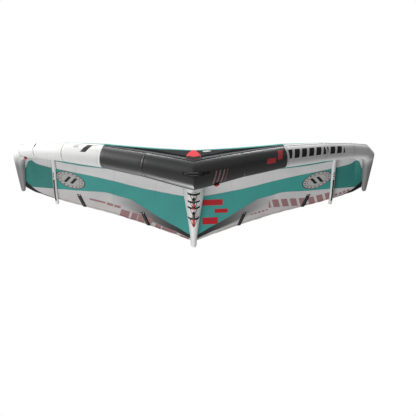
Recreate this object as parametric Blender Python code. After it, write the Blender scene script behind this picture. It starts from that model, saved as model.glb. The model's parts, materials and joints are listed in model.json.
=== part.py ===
"""Inflatable hand-held wing for foil boards: swept leading edge, centre strut, two mini struts.

Metres, +Z up. The span lies along X, the nose points to -Y and the strut runs aft along +Y.
The wing is built with the root of its leading edge at Y = 0. At the end it slides along Y until
the origin is below the middle of its length, level with its lowest point.
"""
import math

import bpy
import bmesh
import numpy as np
from mathutils import Matrix, Vector

# Leading edge tube, measured on its centre line
HALF_SPAN = 1.940
CORNER_SWEEP = 0.725
CORNER_RISE = 0.495
ROOT_RADIUS = 0.168
TIP_TUBE_LENGTH = 0.805
TIP_TUBE_DROP = 0.106
TIP_END_RADIUS = 0.026
CASING_WALL = 0.0012
BLADDER_WALL = 0.0010

# Canopy cloth and its trailing edge
CHORD_REACH = 2.200
TRAILING_ROOT_DROP = 0.043
TRAILING_SWEEP = 0.700
TRAILING_RISE = 0.421
CANOPY_THICKNESS = 0.0020
EDGE_BAND_WIDTH = 0.030
PATCH_THICKNESS = 0.0015

# Struts under the canopy
STRUT_RADIUS = 0.120
STRUT_OVERHANG = 0.020
MINI_STRUT_RADIUS = 0.025
MINI_STRUT_OVERHANG = 0.045

# Clearance between pieces that are sewn or seated on each other
GAP = 0.0003
SEAM_GAP = 0.0006
RUNNING_CLEARANCE = 0.0005
ELBOW_LIFT = 0.0014
OVERRUN = 0.010

# Facets
TUBE_SIDES = 24
BLADDER_SIDES = 12
STRUT_SIDES = 20
STRUT_BLADDER_SIDES = 10
MINI_SIDES = 12
MINI_BLADDER_SIDES = 6
SMALL_SIDES = 16
ROD_SIDES = 12
CORE_SIDES = 10
DOME_STEPS = 3
BLADDER_DOME_STEPS = 2

# Joints of the leading edge's straight panels, from the root to the outer end of the tip elbow.
# Each row gives shares of HALF_SPAN, CORNER_SWEEP, CORNER_RISE and ROOT_RADIUS.
PANEL_JOINT_SHARES = (
    (0.000, 0.000, 0.000, 1.000),
    (0.2515, 0.175, 0.315, 0.830),
    (0.4876, 0.349, 0.584, 0.717),
    (0.706, 0.545, 0.784, 0.592),
    (0.871, 0.752, 0.941, 0.470),
    (0.951, 0.883, 1.000, 0.4286),
    (0.982, 1.000, 0.966, 0.369),
)
COLOUR_JOINT = 2
ELBOW_JOINT = 5
CORNER_JOINT = 6
TIP_JOINT = 7
MINI_STRUT_STATION = 3.75

# Trailing edge below each station of the leading edge: station, then shares of HALF_SPAN,
# TRAILING_SWEEP and TRAILING_RISE. The last point comes from the tip tube instead.
TRAILING_EDGE_SHARES = (
    (0.00, 0.0000, 0.000, 0.000),
    (1.00, 0.2443, 0.276, 0.283),
    (2.00, 0.4737, 0.489, 0.527),
    (3.00, 0.6856, 0.671, 0.703),
    (3.75, 0.8057, 0.796, 0.796),
    (5.00, 0.9280, 0.936, 0.926),
)

# How the cloth leaves the tube and meets the trailing edge at each station: the angle forward of
# the tube's top, the angle at the trailing edge, and the fullness of both ends as chord shares.
LIFT_ANGLES = ((0.0, 44.0), (1.0, 38.0), (2.0, 34.0), (3.0, 30.0), (4.0, 28.0), (5.0, 28.0))
TRAILING_ANGLES = ((0.0, 22.0), (1.0, 20.0), (2.0, 17.0), (3.0, 15.0), (4.0, 13.0), (5.0, 12.0))
FRONT_FULLNESS_SHARES = ((0.0, 0.345), (1.0, 0.315), (2.0, 0.250), (3.0, 0.200), (5.0, 0.200))
REAR_FULLNESS_SHARES = ((0.0, 0.40), (1.0, 0.38), (2.0, 0.36), (3.0, 0.34), (5.0, 0.30))
TIP_TUBE_ANGLE = -15.0
LAP_ANGLE = 15.0
LAP_STEPS = 3
TANGENT_STEP = 1.0
STATION_STEP = 0.02
CHORD_STEPS = 13
TIP_REACH_SHARE = 0.97

# Centre strut's radius, as shares of STRUT_RADIUS, against shares of CHORD_REACH
STRUT_TAPER_SHARES = ((0.00, 1.0), (0.545, 1.0), (0.60, 0.875), (0.90, 0.39), (1.00, 0.28))
MINI_TAPER_SHARES = ((0.00, 1.0), (1.00, 0.80))
STRUT_START_SHARE = 0.03
MINI_START_SHARE = 0.06
STRUT_BLADDER_CLEARANCE = 0.100
MINI_BLADDER_CLEARANCE = 0.004

# Handles under the strut: yokes of webbing that carry a two-part grip
YOKE_REACH_SHARES = (0.455, 0.527, 0.605, 0.722)
GRIP_TAIL = 0.050
GRIP_RADIUS = 0.014
GRIP_CORE_RADIUS = 0.008
HANDLE_DROP = 0.060
YOKE_HALF_WIDTH = 0.050
YOKE_WEBBING_WIDTH = 0.025
YOKE_WEBBING_THICKNESS = 0.003
YOKE_ARC_STEPS = 10
YOKE_FORK_SHARE = 0.42
BLACK_GRIP_SHARE = 0.50
GRIP_NOSE = 0.020
GRIP_CORE_INSET = 0.004
PAD_LENGTH = 0.040
PAD_THICKNESS = 0.0020
PAD_FACETS = 2

# Handle on the front of the leading edge
NOSE_HANDLE_ANGLE = 112.5
NOSE_HANDLE_HALF_WIDTH = 0.085
NOSE_HANDLE_STANDOFF = 0.085
NOSE_GRIP_LENGTH = 0.100
NOSE_GRIP_RADIUS = 0.015
NOSE_WEBBING_HALF_WIDTH = 0.0125
NOSE_CORE_RADIUS = 0.0075
NOSE_ROOT_RADIUS = 0.005
NOSE_PLATE_LENGTH = 0.052
NOSE_PLATE_WIDTH = 0.036
NOSE_PLATE_THICKNESS = 0.0030
LEASH_PATCH_LENGTH = 0.040
LEASH_PATCH_WIDTH = 0.025
LEASH_PATCH_SHIFT = 0.052
STRAP_PATH_SHARES = ((1.0, 0.0), (0.92, 0.20), (0.70, 0.55), (0.40, 0.88), (0.12, 1.0),
                     (-0.12, 1.0))
STRAP_WIDTH_SHARES = (0.85, 1.0, 1.0)
STRAP_THICKNESS_SHARES = (0.45, 0.36, 0.45)
ROOT_STEPS = 4

# Inflation valve and deflation valve
VALVE_STATION = 0.447
VALVE_RADIUS = 0.031
DUMP_STATION = 4.80
DUMP_RADIUS = 0.021
VALVE_ANGLE = 180.0
FLANGE_HEIGHT_SHARE = 0.20
SEAT_HEIGHT_SHARE = 0.26
CAP_HEIGHT_SHARE = 0.30
NECK_DEPTH_SHARE = 0.90
HINGE_PIN_SHARE = 0.07
HINGE_WIDTH_SHARE = 0.22
VALVE_BORE_SHARE = 0.55
VALVE_NECK_SHARE = 0.72
SEAT_RADIUS_SHARE = 0.86
CAP_RADIUS_SHARE = 0.78
CAP_BEVEL_SHARE = 0.08

# Air passages between the bladders
PASSAGE_RADIUS = 0.010
PASSAGE_WALL = 0.0015
PASSAGE_REACH = 0.015
PASSAGE_SIDES = 12

# Battens in the trailing edge: stations where they end at the edge
BATTEN_STATIONS = (1.11, 2.79)
BATTEN_LEAN = 0.15
BATTEN_LENGTH = 0.200
BATTEN_WIDTH = 0.026
BATTEN_THICKNESS = 0.0020
BATTEN_STEPS = 2
POCKET_WALL = 0.0015
EDGE_INSET = 0.004

# Patches
NOSE_PATCH_HALF_WIDTH = 0.088
NOSE_PATCH_ROWS = 4
NOSE_PATCH_TAPER_SHARE = 0.95
CORNER_PATCH_DEPTH = 0.130
EDGE_START_STATION = 0.12
EDGE_END_MARGIN = 0.12

# Rows of the cloth from front to back, and its columns from the root to the tip tube
ROW_SHARES = [(k / CHORD_STEPS) ** 1.25 for k in range(CHORD_STEPS + 1)]
MAIN_COLUMNS = 12
MAIN_STATIONS = sorted({k * MINI_STRUT_STATION / MAIN_COLUMNS for k in range(MAIN_COLUMNS + 1)}
                       | {1.0, 2.0, 3.0})
TIP_STATIONS = [MINI_STRUT_STATION, 4.0, 4.5, 5.0, 5.2, 5.4, 5.6, 5.8, 6.0]
CLOTH_STATIONS = MAIN_STATIONS + TIP_STATIONS[1:]

UP = Vector((0, 0, 1))


def material(name, colour, roughness, metallic=0.0):
    """A Principled material with a plain colour."""
    made = bpy.data.materials.new(name)
    made.use_nodes = True
    shader = made.node_tree.nodes["Principled BSDF"]
    shader.inputs["Base Color"].default_value = (*colour, 1)
    shader.inputs["Roughness"].default_value = roughness
    shader.inputs["Metallic"].default_value = metallic
    made.diffuse_color = (*colour, 1)
    return made


def add_object(name, vertices, faces, finish):
    """A closed mesh object with its vertices in world metres."""
    mesh = bpy.data.meshes.new(name)
    mesh.from_pydata([tuple(v) for v in vertices], [], faces)
    shape = bmesh.new()
    shape.from_mesh(mesh)
    bmesh.ops.recalc_face_normals(shape, faces=shape.faces)
    shape.to_mesh(mesh)
    shape.free()
    mesh.shade_smooth()
    mesh.set_sharp_from_angle(angle=math.radians(35))
    mesh.materials.append(finish)
    made = bpy.data.objects.new(name, mesh)
    bpy.context.scene.collection.objects.link(made)
    return made


def put_origin(moving, point):
    """The origin of a moving piece lies on its joint's axis."""
    moving.data.transform(Matrix.Translation(-point))
    moving.location = point


def cut(target, cutter):
    """Take the cutter's space out of the target, and keep the cutter out of the model."""
    cutter.hide_render = True
    cutter.display_type = "WIRE"
    boolean = target.modifiers.new(cutter.name, "BOOLEAN")
    boolean.operation = "DIFFERENCE"
    boolean.object = cutter


def follow(table, place):
    """Read a table of (place, value, ...) rows on a smooth curve through them."""
    places = [row[0] for row in table]
    values = np.array([row[1:] for row in table], dtype=float)
    slopes = np.gradient(values, places, axis=0)
    place = min(max(place, places[0]), places[-1])
    i = min(int(np.searchsorted(places, place, side="right")) - 1, len(places) - 2)
    step = places[i + 1] - places[i]
    t = (place - places[i]) / step
    near = (1 + 2 * t) * (1 - t) ** 2 * values[i] + t * (1 - t) ** 2 * step * slopes[i]
    far = t * t * (3 - 2 * t) * values[i + 1] + t * t * (t - 1) * step * slopes[i + 1]
    found = near + far
    return float(found[0]) if len(found) == 1 else found


def straight(table, place):
    """Read a table of (place, value) rows with straight lines between them."""
    return float(np.interp(place, [row[0] for row in table], [row[1] for row in table]))


def ring_point(centre, along, plane, radius, angle):
    """A point of a tube at an angle from its top, slid along it onto the plane of a joint."""
    up = (UP - along * along.z).normalized()
    side = along.cross(up)
    offset = (up * math.cos(angle) + side * math.sin(angle)) * radius
    offset -= along * (offset.dot(plane) / along.dot(plane))
    return centre + offset


def panel_joints():
    """Centres and radii of the leading edge's joints on the right side, and the tip's end."""
    centres = []
    radii = []
    for x_share, y_share, z_share, r_share in PANEL_JOINT_SHARES:
        place = (x_share * HALF_SPAN, y_share * CORNER_SWEEP, z_share * CORNER_RISE)
        centres.append(Vector(place))
        radii.append(r_share * ROOT_RADIUS)
    corner = centres[CORNER_JOINT]
    end = Vector((HALF_SPAN, corner.y + TIP_TUBE_LENGTH, corner.z - TIP_TUBE_DROP))
    centres.append(end)
    radii.append(TIP_END_RADIUS)
    directions = [(b - a).normalized() for a, b in zip(centres, centres[1:])]
    planes = [Vector((1, 0, 0))]
    planes += [(a + b).normalized() for a, b in zip(directions, directions[1:])]
    planes.append(directions[-1])
    lowest = min(ring_point(centres[0], directions[0], planes[0], radii[0],
                            2 * math.pi * k / TUBE_SIDES).z for k in range(TUBE_SIDES))
    for centre in centres:
        centre.z -= lowest
    return centres, radii, directions, planes


CENTRES, RADII, DIRECTIONS, PLANES = panel_joints()
ROOT_HEIGHT = CENTRES[0].z


def tube_point(station, angle, extra=0.0):
    """A point on the right half of the leading edge, so far out from its cloth."""
    first = min(int(station), TIP_JOINT - 1)
    share = station - first
    ends = []
    for joint in (first, first + 1):
        ends.append(ring_point(CENTRES[joint], DIRECTIONS[first], PLANES[joint],
                               RADII[joint] + extra, math.radians(angle)))
    return ends[0].lerp(ends[1], share)


def tube_axis(station):
    """The leading edge's centre line at a station."""
    first = min(int(station), TIP_JOINT - 1)
    return CENTRES[first].lerp(CENTRES[first + 1], station - first)


def tube_radius(station):
    """The leading edge's radius at a station."""
    first = min(int(station), TIP_JOINT - 1)
    share = station - first
    return RADII[first] * (1 - share) + RADII[first + 1] * share


def tube_ring(station, extra, slide=0.0, sides=TUBE_SIDES):
    """All points round the leading edge at a station, slid outboard along it."""
    first = min(int(station), TIP_JOINT - 1)
    shift = DIRECTIONS[first if slide >= 0 else max(first - 1, 0)] * slide
    return [tube_point(station, 360.0 * k / sides, extra) + shift for k in range(sides)]


def mirrored(points):
    """The same points on the left half."""
    return [Vector((-p.x, p.y, p.z)) for p in points]


def dome(centre, along, radius, sides, steps=DOME_STEPS, way=1):
    """Rings of a round end, in order away from the tube; way is -1 at the tube's start."""
    rings = []
    for step in range(1, steps + 1):
        turn = math.radians(90) * step / (steps + 0.5)
        middle = centre + along * radius * math.sin(turn) * way
        rings.append([ring_point(middle, along, along, radius * math.cos(turn),
                                 2 * math.pi * k / sides) for k in range(sides)])
    return rings


def loft(rings, vertices, faces, start_cap, end_cap):
    """Join rings of equal length into a skin and return the rows of vertex numbers."""
    rows = []
    for ring in rings:
        first = len(vertices)
        vertices.extend(ring)
        rows.append(list(range(first, first + len(ring))))
    for a, b in zip(rows, rows[1:]):
        count = len(a)
        for k in range(count):
            n = (k + 1) % count
            faces.append((a[k], a[n], b[n], b[k]))
    if start_cap:
        faces.append(tuple(rows[0]))
    if end_cap:
        faces.append(tuple(rows[-1]))
    return rows


def solid_loft(name, rings, finish):
    """A solid tube with closed ends."""
    vertices = []
    faces = []
    loft(rings, vertices, faces, True, True)
    return add_object(name, vertices, faces, finish)


def shell(name, outer, inner, finish, start="open", end="open"):
    """A hollow tube; each end is an open rim or is closed by both skins."""
    vertices = []
    faces = []
    outside = loft(outer, vertices, faces, start == "closed", end == "closed")
    inside = loft(inner, vertices, faces, start == "closed", end == "closed")
    for state, a, b in ((start, outside[0], inside[0]), (end, outside[-1], inside[-1])):
        if state == "open":
            count = len(a)
            for k in range(count):
                n = (k + 1) % count
                faces.append((a[k], a[n], b[n], b[k]))
    made = add_object(name, vertices, faces, finish)
    if start == "closed" and end == "closed":
        turn_inside(made, len(outside) * len(outside[0]))
    return made


def turn_inside(made, first_inner):
    """Point the inner skin of a fully closed shell at its hollow."""
    shape = bmesh.new()
    shape.from_mesh(made.data)
    inner = [f for f in shape.faces if all(v.index >= first_inner for v in f.verts)]
    bmesh.ops.recalc_face_normals(shape, faces=inner)
    bmesh.ops.reverse_faces(shape, faces=inner)
    shape.to_mesh(made.data)
    shape.free()


def grid_normals(grid, flat_columns=()):
    """Upward normals of a grid of points; chosen columns keep theirs in the plane of a seam."""
    points = np.array([[tuple(p) for p in row] for row in grid])
    along = np.gradient(points, axis=0)
    across = np.gradient(points, axis=1)
    normals = np.cross(across, along)
    for column in flat_columns:
        normals[:, column, 0] = 0
    normals /= np.linalg.norm(normals, axis=2)[:, :, None]
    if normals[:, :, 2].sum() < 0:
        normals = -normals
    return [[Vector(n) for n in row] for row in normals]


def slab(name, grid, normals, low, high, finish):
    """A closed sheet between two offsets from a grid of points."""
    sides = []
    for offset in (low, high):
        sides.append([[p + n * offset for p, n in zip(row, row_normals)]
                      for row, row_normals in zip(grid, normals)])
    return slab_between(name, *sides, finish)


def slab_between(name, low, high, finish):
    """A closed sheet between two grids of points, with all its cells cut the same way."""
    rows = len(low)
    columns = len(low[0])
    vertices = [p for grid in (low, high) for row in grid for p in row]
    faces = []

    def corner(i, j, side):
        return (side * rows + i) * columns + j

    for i in range(rows - 1):
        for j in range(columns - 1):
            for side in (0, 1):
                a, b = corner(i, j, side), corner(i + 1, j + 1, side)
                faces.append((a, corner(i + 1, j, side), b))
                faces.append((a, b, corner(i, j + 1, side)))
    for i in range(rows - 1):
        for j in (0, columns - 1):
            faces.append((corner(i, j, 0), corner(i + 1, j, 0),
                          corner(i + 1, j, 1), corner(i, j, 1)))
    for j in range(columns - 1):
        for i in (0, rows - 1):
            faces.append((corner(i, j, 0), corner(i, j + 1, 0),
                          corner(i, j + 1, 1), corner(i, j, 1)))
    return add_object(name, vertices, faces, finish)


def turned(name, profile, place, solid, finish, sides=SMALL_SIDES):
    """A piece turned from a profile of (radius, height): a capped solid or a closed ring."""
    vertices = []
    faces = []
    rings = []
    for radius, height in profile:
        rings.append([place @ Vector((radius * math.cos(2 * math.pi * k / sides),
                                      radius * math.sin(2 * math.pi * k / sides), height))
                      for k in range(sides)])
    rows = loft(rings, vertices, faces, solid, solid)
    if not solid:
        first, last = rows[0], rows[-1]
        for k in range(sides):
            n = (k + 1) % sides
            faces.append((last[k], last[n], first[n], first[k]))
    return add_object(name, vertices, faces, finish)


def trailing_point(station):
    """The trailing edge at a station, on the right half."""
    tip = tube_point(TIP_JOINT - 1 + TIP_REACH_SHARE, TIP_TUBE_ANGLE,
                     SEAM_GAP + CANOPY_THICKNESS / 2)
    rows = []
    for place, x_share, y_share, z_share in TRAILING_EDGE_SHARES:
        rows.append((place, x_share * HALF_SPAN, CHORD_REACH - y_share * TRAILING_SWEEP,
                     ROOT_HEIGHT - TRAILING_ROOT_DROP + z_share * TRAILING_RISE))
    rows.append((CORNER_JOINT, tip.x, tip.y, tip.z))
    return Vector(follow(rows, station))


def lift_angle(station):
    """Where the cloth leaves the tube, as an angle from its top towards the front."""
    elbow = max(station - ELBOW_JOINT, 0)
    angle = straight(LIFT_ANGLES, station)
    return angle * (1 - elbow) + TIP_TUBE_ANGLE * elbow


def cloth_lift(station):
    """Height of the cloth's middle over the tube; it lies looser round the elbow."""
    lift = SEAM_GAP + CANOPY_THICKNESS / 2
    return lift + ELBOW_LIFT if station >= ELBOW_JOINT else lift


def canopy_handles(station):
    """The four control points of the cloth's profile at a station."""
    middle = cloth_lift(station)
    angle = lift_angle(station)
    start = tube_point(station, angle, middle)
    end = trailing_point(station)
    reach = (end - start).length
    elbow = max(station - ELBOW_JOINT, 0)
    tangent = tube_point(station, angle - TANGENT_STEP, middle) - start
    leave = tangent.normalized().lerp((end - start) / reach, elbow)
    drop = math.radians(straight(TRAILING_ANGLES, station))
    arrive = Vector((0, math.cos(drop), -math.sin(drop))).lerp((end - start) / reach, elbow)
    drift = Vector((end.x - start.x, 0, 0)) * (1 - elbow)
    front = straight(FRONT_FULLNESS_SHARES, station)
    rear = straight(REAR_FULLNESS_SHARES, station)
    return (start, start + leave * reach * front + drift * front,
            end - arrive * reach * rear - drift * rear, end)


def canopy_point(station, share):
    """The middle of the cloth at a station and a share of its profile from front to back."""
    a, b, c, d = canopy_handles(station)
    t = share
    return (a * (1 - t) ** 3 + b * 3 * t * (1 - t) ** 2
            + c * 3 * t * t * (1 - t) + d * t ** 3)


def share_before_edge(station, length):
    """Share of the profile that lies a length forward of the trailing edge."""
    c, d = canopy_handles(station)[2:]
    return 1 - length / (3 * (d - c).length)


def cell(places, place):
    """Number of the interval that holds a place."""
    return min(max(int(np.searchsorted(places, place, side="right")) - 1, 0), len(places) - 2)


def cloth(station, share):
    """A point of the cloth as it is built, on the facet that holds it."""
    i = cell(ROW_SHARES, share)
    j = cell(CLOTH_STATIONS, station)
    a = (share - ROW_SHARES[i]) / (ROW_SHARES[i + 1] - ROW_SHARES[i])
    b = (station - CLOTH_STATIONS[j]) / (CLOTH_STATIONS[j + 1] - CLOTH_STATIONS[j])
    near, far = [[canopy_point(CLOTH_STATIONS[j + y], ROW_SHARES[i + x]) for y in (0, 1)]
                 for x in (0, 1)]
    if a >= b:
        return near[0] + (far[0] - near[0]) * a + (far[1] - far[0]) * b
    return near[0] + (near[1] - near[0]) * b + (far[1] - near[1]) * a


def canopy_normal(station, share):
    """Upward normal of the cloth."""
    step = 0.01
    aft = canopy_point(station, min(share + step, 1)) - canopy_point(station, max(share - step, 0))
    out = (canopy_point(min(station + step, CORNER_JOINT), share)
           - canopy_point(max(station - step, 0), share))
    normal = out.cross(aft)
    if station < step:
        normal.x = 0
    return normal.normalized()


def canopy_grid(stations, seam_trims):
    """Grid of the cloth from its lap on the tube to its trailing edge."""
    grid = []
    for k in range(LAP_STEPS):
        over = LAP_ANGLE * (1 - k / LAP_STEPS)
        grid.append([tube_point(s, lift_angle(s) + over, cloth_lift(s)) for s in stations])
    for share in ROW_SHARES:
        grid.append([canopy_point(s, share) for s in stations])
    for row in grid:
        row[0].x += seam_trims[0]
        row[-1].x -= seam_trims[1]
    return grid


def side_name(name, side):
    """Name of the left or right copy of a piece."""
    return f"{name}_{'right' if side > 0 else 'left'}"


def flip(grid, side):
    """A grid for the left half is the right one mirrored."""
    if side > 0:
        return grid
    return [mirrored(row) for row in grid]


def make_canopy(finishes):
    """Main and tip panels of the cloth on both sides."""
    for side in (-1, 1):
        for name, stations, trims, flats in (
                ("canopy_main", MAIN_STATIONS, (GAP, GAP / 2), (0, -1)),
                ("canopy_tip", TIP_STATIONS, (GAP / 2, 0), (0,))):
            grid = flip(canopy_grid(stations, trims), side)
            normals = grid_normals(grid, flats)
            half = CANOPY_THICKNESS / 2
            slab(side_name(name, side), grid, normals, -half, half, finishes[name])


def leading_edge_rings(joints, extra, trims):
    """Rings on the right half from one joint to another, slid apart at the ends by trims."""
    rings = []
    for joint in joints:
        slide = 0.0
        if joint == joints[0]:
            slide = trims[0]
        if joint == joints[-1]:
            slide = -trims[1]
        rings.append(tube_ring(joint, extra, slide))
    return rings


def make_leading_edge(finishes):
    """Casings of the leading edge: black centre, white sides and the tip elbows."""
    centre_joints = list(range(COLOUR_JOINT + 1))
    skins = []
    for extra in (0.0, -CASING_WALL):
        right = leading_edge_rings(centre_joints, extra, (0.0, GAP / 2))
        left = [mirrored(ring) for ring in reversed(right[1:])]
        skins.append(left + right)
    made = {"center": shell("leading_edge_center", *skins, finishes["black_dacron"])}
    outer_joints = list(range(COLOUR_JOINT, ELBOW_JOINT + 1))
    tip_joints = [ELBOW_JOINT, CORNER_JOINT, TIP_JOINT]
    end = CENTRES[TIP_JOINT]
    for side in (-1, 1):
        skins = []
        tips = []
        for extra in (0.0, -CASING_WALL):
            skins.append(leading_edge_rings(outer_joints, extra, (GAP / 2, GAP / 2)))
            tips.append(leading_edge_rings(tip_joints, extra, (GAP / 2, 0.0))
                        + dome(end, DIRECTIONS[-1], TIP_END_RADIUS + extra, TUBE_SIDES))
        skins = [[r if side > 0 else mirrored(r) for r in skin] for skin in skins]
        tips = [[r if side > 0 else mirrored(r) for r in tip] for tip in tips]
        name = side_name("leading_edge", side)
        made[side] = shell(name, *skins, finishes["white_dacron"])
        shell(side_name("tip_tube", side), *tips, finishes["grey_dacron"], "open", "closed")
    return made


def make_leading_edge_bladder(finishes):
    """The long bladder inside the leading edge, up to the ends of both tips."""
    skins = []
    last = TIP_JOINT - 1 + TIP_REACH_SHARE
    for extra in (-CASING_WALL - GAP, -CASING_WALL - GAP - BLADDER_WALL):
        right = [tube_ring(joint, extra, 0.0, BLADDER_SIDES) for joint in range(TIP_JOINT)]
        right.append(tube_ring(last, extra, 0.0, BLADDER_SIDES))
        right += dome(tube_axis(last), DIRECTIONS[-1], tube_radius(last) + extra,
                      BLADDER_SIDES, BLADDER_DOME_STEPS)
        left = [mirrored(ring) for ring in reversed(right[1:])]
        skins.append(left + right)
    return shell("leading_edge_bladder", *skins, finishes["bladder"], "closed", "closed")


def leading_edge_cutter(name, stations, extra, side=0):
    """A plain tube that stands in for the leading edge where a piece is cut to fit it."""
    rings = [tube_ring(station, extra) for station in stations]
    if side == 0:
        rings = [mirrored(ring) for ring in reversed(rings[1:])] + rings
    elif side < 0:
        rings = [mirrored(ring) for ring in rings]
    cutter = solid_loft(name, rings, bpy.data.materials["bladder"])
    return cutter


def strut_centres(station, start_share, size, taper, overhang):
    """Centres and radii of a strut's joints under the cloth's rows, the last past the edge."""
    centres = []
    radii = []
    for share in [row for row in ROW_SHARES if row > start_share]:
        top = canopy_point(station, share)
        radius = size * straight(taper, top.y / CHORD_REACH)
        depth = CANOPY_THICKNESS / 2 + SEAM_GAP + radius
        centres.append(top - canopy_normal(station, share) * depth)
        radii.append(radius)
    last = (centres[-1] - centres[-2]).normalized()
    centres.append(centres[-1] + last * overhang)
    radii.append(radii[-1])
    return centres, radii


def strut_rings(centres, radii, extra, sides):
    """Rings of a bent tube, each in the plane that halves its bend, and its directions."""
    directions = [(b - a).normalized() for a, b in zip(centres, centres[1:])]
    planes = [directions[0]]
    planes += [(a + b).normalized() for a, b in zip(directions, directions[1:])]
    planes.append(directions[-1])
    ways = [directions[0]] + directions
    rings = []
    for centre, radius, way, plane in zip(centres, radii, ways, planes):
        rings.append([ring_point(centre, way, plane, radius + extra, 2 * math.pi * k / sides)
                      for k in range(sides)])
    return rings, directions


def strut_casing(name, centres, radii, sides, finish):
    """Fabric tube of a strut, open where it meets the leading edge."""
    skins = []
    for extra in (0.0, -CASING_WALL):
        rings, directions = strut_rings(centres, radii, extra, sides)
        skins.append(rings + dome(centres[-1], directions[-1], radii[-1] + extra, sides))
    return shell(name, *skins, finish, "open", "closed")


def strut_bladder(name, centres, radii, sides, finish):
    """Bladder inside a strut, with a round front end clear of the leading edge."""
    skins = []
    for extra in (-CASING_WALL - GAP, -CASING_WALL - GAP - BLADDER_WALL):
        rings, directions = strut_rings(centres, radii, extra, sides)
        front = dome(centres[0], directions[0], radii[0] + extra, sides, BLADDER_DOME_STEPS, -1)
        back = dome(centres[-1], directions[-1], radii[-1] + extra, sides, BLADDER_DOME_STEPS)
        skins.append(list(reversed(front)) + rings + back)
    return shell(name, *skins, finish, "closed", "closed")


def bladder_start(centres, radii, axis, size, clearance):
    """Number of the strut's first joint whose bladder clears the leading edge."""
    for number, (centre, radius) in enumerate(zip(centres, radii)):
        if (centre - axis).length > size + radius + clearance:
            return number
    return len(centres) - 2


def tube_between(name, start, end, outer, inner, sides, finish):
    """A straight tube, solid where the inner radius is zero."""
    along = (end - start).normalized()
    skins = []
    for radius in (outer, inner):
        skins.append([[ring_point(centre, along, along, radius, 2 * math.pi * k / sides)
                       for k in range(sides)] for centre in (start, end)])
    if inner == 0:
        return solid_loft(name, skins[0], finish)
    return shell(name, *skins, finish)


def make_passage(name, start, target, radius, tube_size, walls, finishes):
    """Short air hose from the leading edge's bladder into a strut's bladder."""
    way = (target - start).normalized()
    near = start + way * (tube_size - PASSAGE_REACH)
    far = target - way * (radius - PASSAGE_REACH)
    tube_between(name, near, far, PASSAGE_RADIUS, PASSAGE_RADIUS - PASSAGE_WALL,
                 PASSAGE_SIDES, finishes["hose"])
    hole = tube_between(name + "_hole", near - way * OVERRUN, far + way * OVERRUN,
                        PASSAGE_RADIUS + RUNNING_CLEARANCE, 0, PASSAGE_SIDES,
                        finishes["bladder"])
    for wall in walls:
        cut(wall, hole)


def make_struts(casings, long_bladder, finishes):
    """Centre strut and mini struts with their bladders and air passages."""
    centres, radii = strut_centres(0.0, STRUT_START_SHARE, STRUT_RADIUS, STRUT_TAPER_SHARES,
                                   STRUT_OVERHANG)
    casing = strut_casing("center_strut", centres, radii, STRUT_SIDES,
                          finishes["white_dacron"])
    cut(casing, leading_edge_cutter("center_strut_saddle", (0.0, 0.6), GAP))
    first = bladder_start(centres, radii, CENTRES[0], RADII[0], STRUT_BLADDER_CLEARANCE)
    bladder = strut_bladder("center_strut_bladder", centres[first:-1], radii[first:-1],
                            STRUT_BLADDER_SIDES, finishes["bladder"])
    make_passage("center_air_passage", CENTRES[0], centres[first], radii[first], RADII[0],
                 (casings["center"], long_bladder, bladder), finishes)
    for side in (-1, 1):
        mini_centres, mini_radii = strut_centres(
            MINI_STRUT_STATION, MINI_START_SHARE, MINI_STRUT_RADIUS, MINI_TAPER_SHARES,
            MINI_STRUT_OVERHANG)
        axis = tube_axis(MINI_STRUT_STATION)
        if side < 0:
            mini_centres = mirrored(mini_centres)
            axis = mirrored([axis])[0]
        name = side_name("mini_strut", side)
        casing = strut_casing(name, mini_centres, mini_radii, MINI_SIDES,
                              finishes["white_dacron"])
        cut(casing, leading_edge_cutter(name + "_saddle", (3.2, 4.0, 4.6), GAP, side))
        size = tube_radius(MINI_STRUT_STATION)
        first = bladder_start(mini_centres, mini_radii, axis, size, MINI_BLADDER_CLEARANCE)
        bladder = strut_bladder(side_name("mini_strut_bladder", side), mini_centres[first:-1],
                                mini_radii[first:-1], MINI_BLADDER_SIDES,
                                finishes["bladder"])
        make_passage(side_name("mini_air_passage", side), axis, mini_centres[first],
                     mini_radii[first], size,
                     (casings[side], long_bladder, casing, bladder), finishes)
    return centres, radii


def ring_between(rings, place, k):
    """A point on a bent tube between two of its rings."""
    first = min(int(place), len(rings) - 2)
    return rings[first][k].lerp(rings[first + 1][k], place - first)


def place_of(rings, reach, k):
    """Where along a strut one of its edges lies a reach behind the nose."""
    for i in range(len(rings) - 1):
        near = rings[i][k].y
        far = rings[i + 1][k].y
        if near <= reach <= far:
            return i + (reach - near) / (far - near)
    return len(rings) - 1.0


def make_yoke(name, grip_centre, along, strut_cutter, grip_cutter, finish):
    """Webbing that hangs a grip from both sides of the strut's belly."""
    up = (UP - along * along.z).normalized()
    outer = GRIP_RADIUS + GAP + YOKE_WEBBING_THICKNESS
    height = HANDLE_DROP + YOKE_HALF_WIDTH / 2
    leg_angle = math.atan2(height, YOKE_HALF_WIDTH)
    leg_length = math.hypot(height, YOKE_HALF_WIDTH)
    leave = leg_angle - math.acos(outer / leg_length)
    inset = YOKE_WEBBING_THICKNESS / math.sin(leg_angle)
    outline = [(YOKE_HALF_WIDTH, height)]
    for k in range(YOKE_ARC_STEPS + 1):
        turn = leave - (math.pi + 2 * leave) * k / YOKE_ARC_STEPS
        outline.append((outer * math.cos(turn), outer * math.sin(turn)))
    outline += [(-YOKE_HALF_WIDTH, height), (inset - YOKE_HALF_WIDTH, height),
                (0, height * YOKE_FORK_SHARE), (YOKE_HALF_WIDTH - inset, height)]
    rings = []
    for way in (-1, 1):
        middle = grip_centre + along * (way * YOKE_WEBBING_WIDTH / 2)
        rings.append([middle + Vector((x, 0, 0)) + up * z for x, z in outline])
    yoke = solid_loft(name, rings, finish)
    cut(yoke, strut_cutter)
    cut(yoke, grip_cutter)


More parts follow.
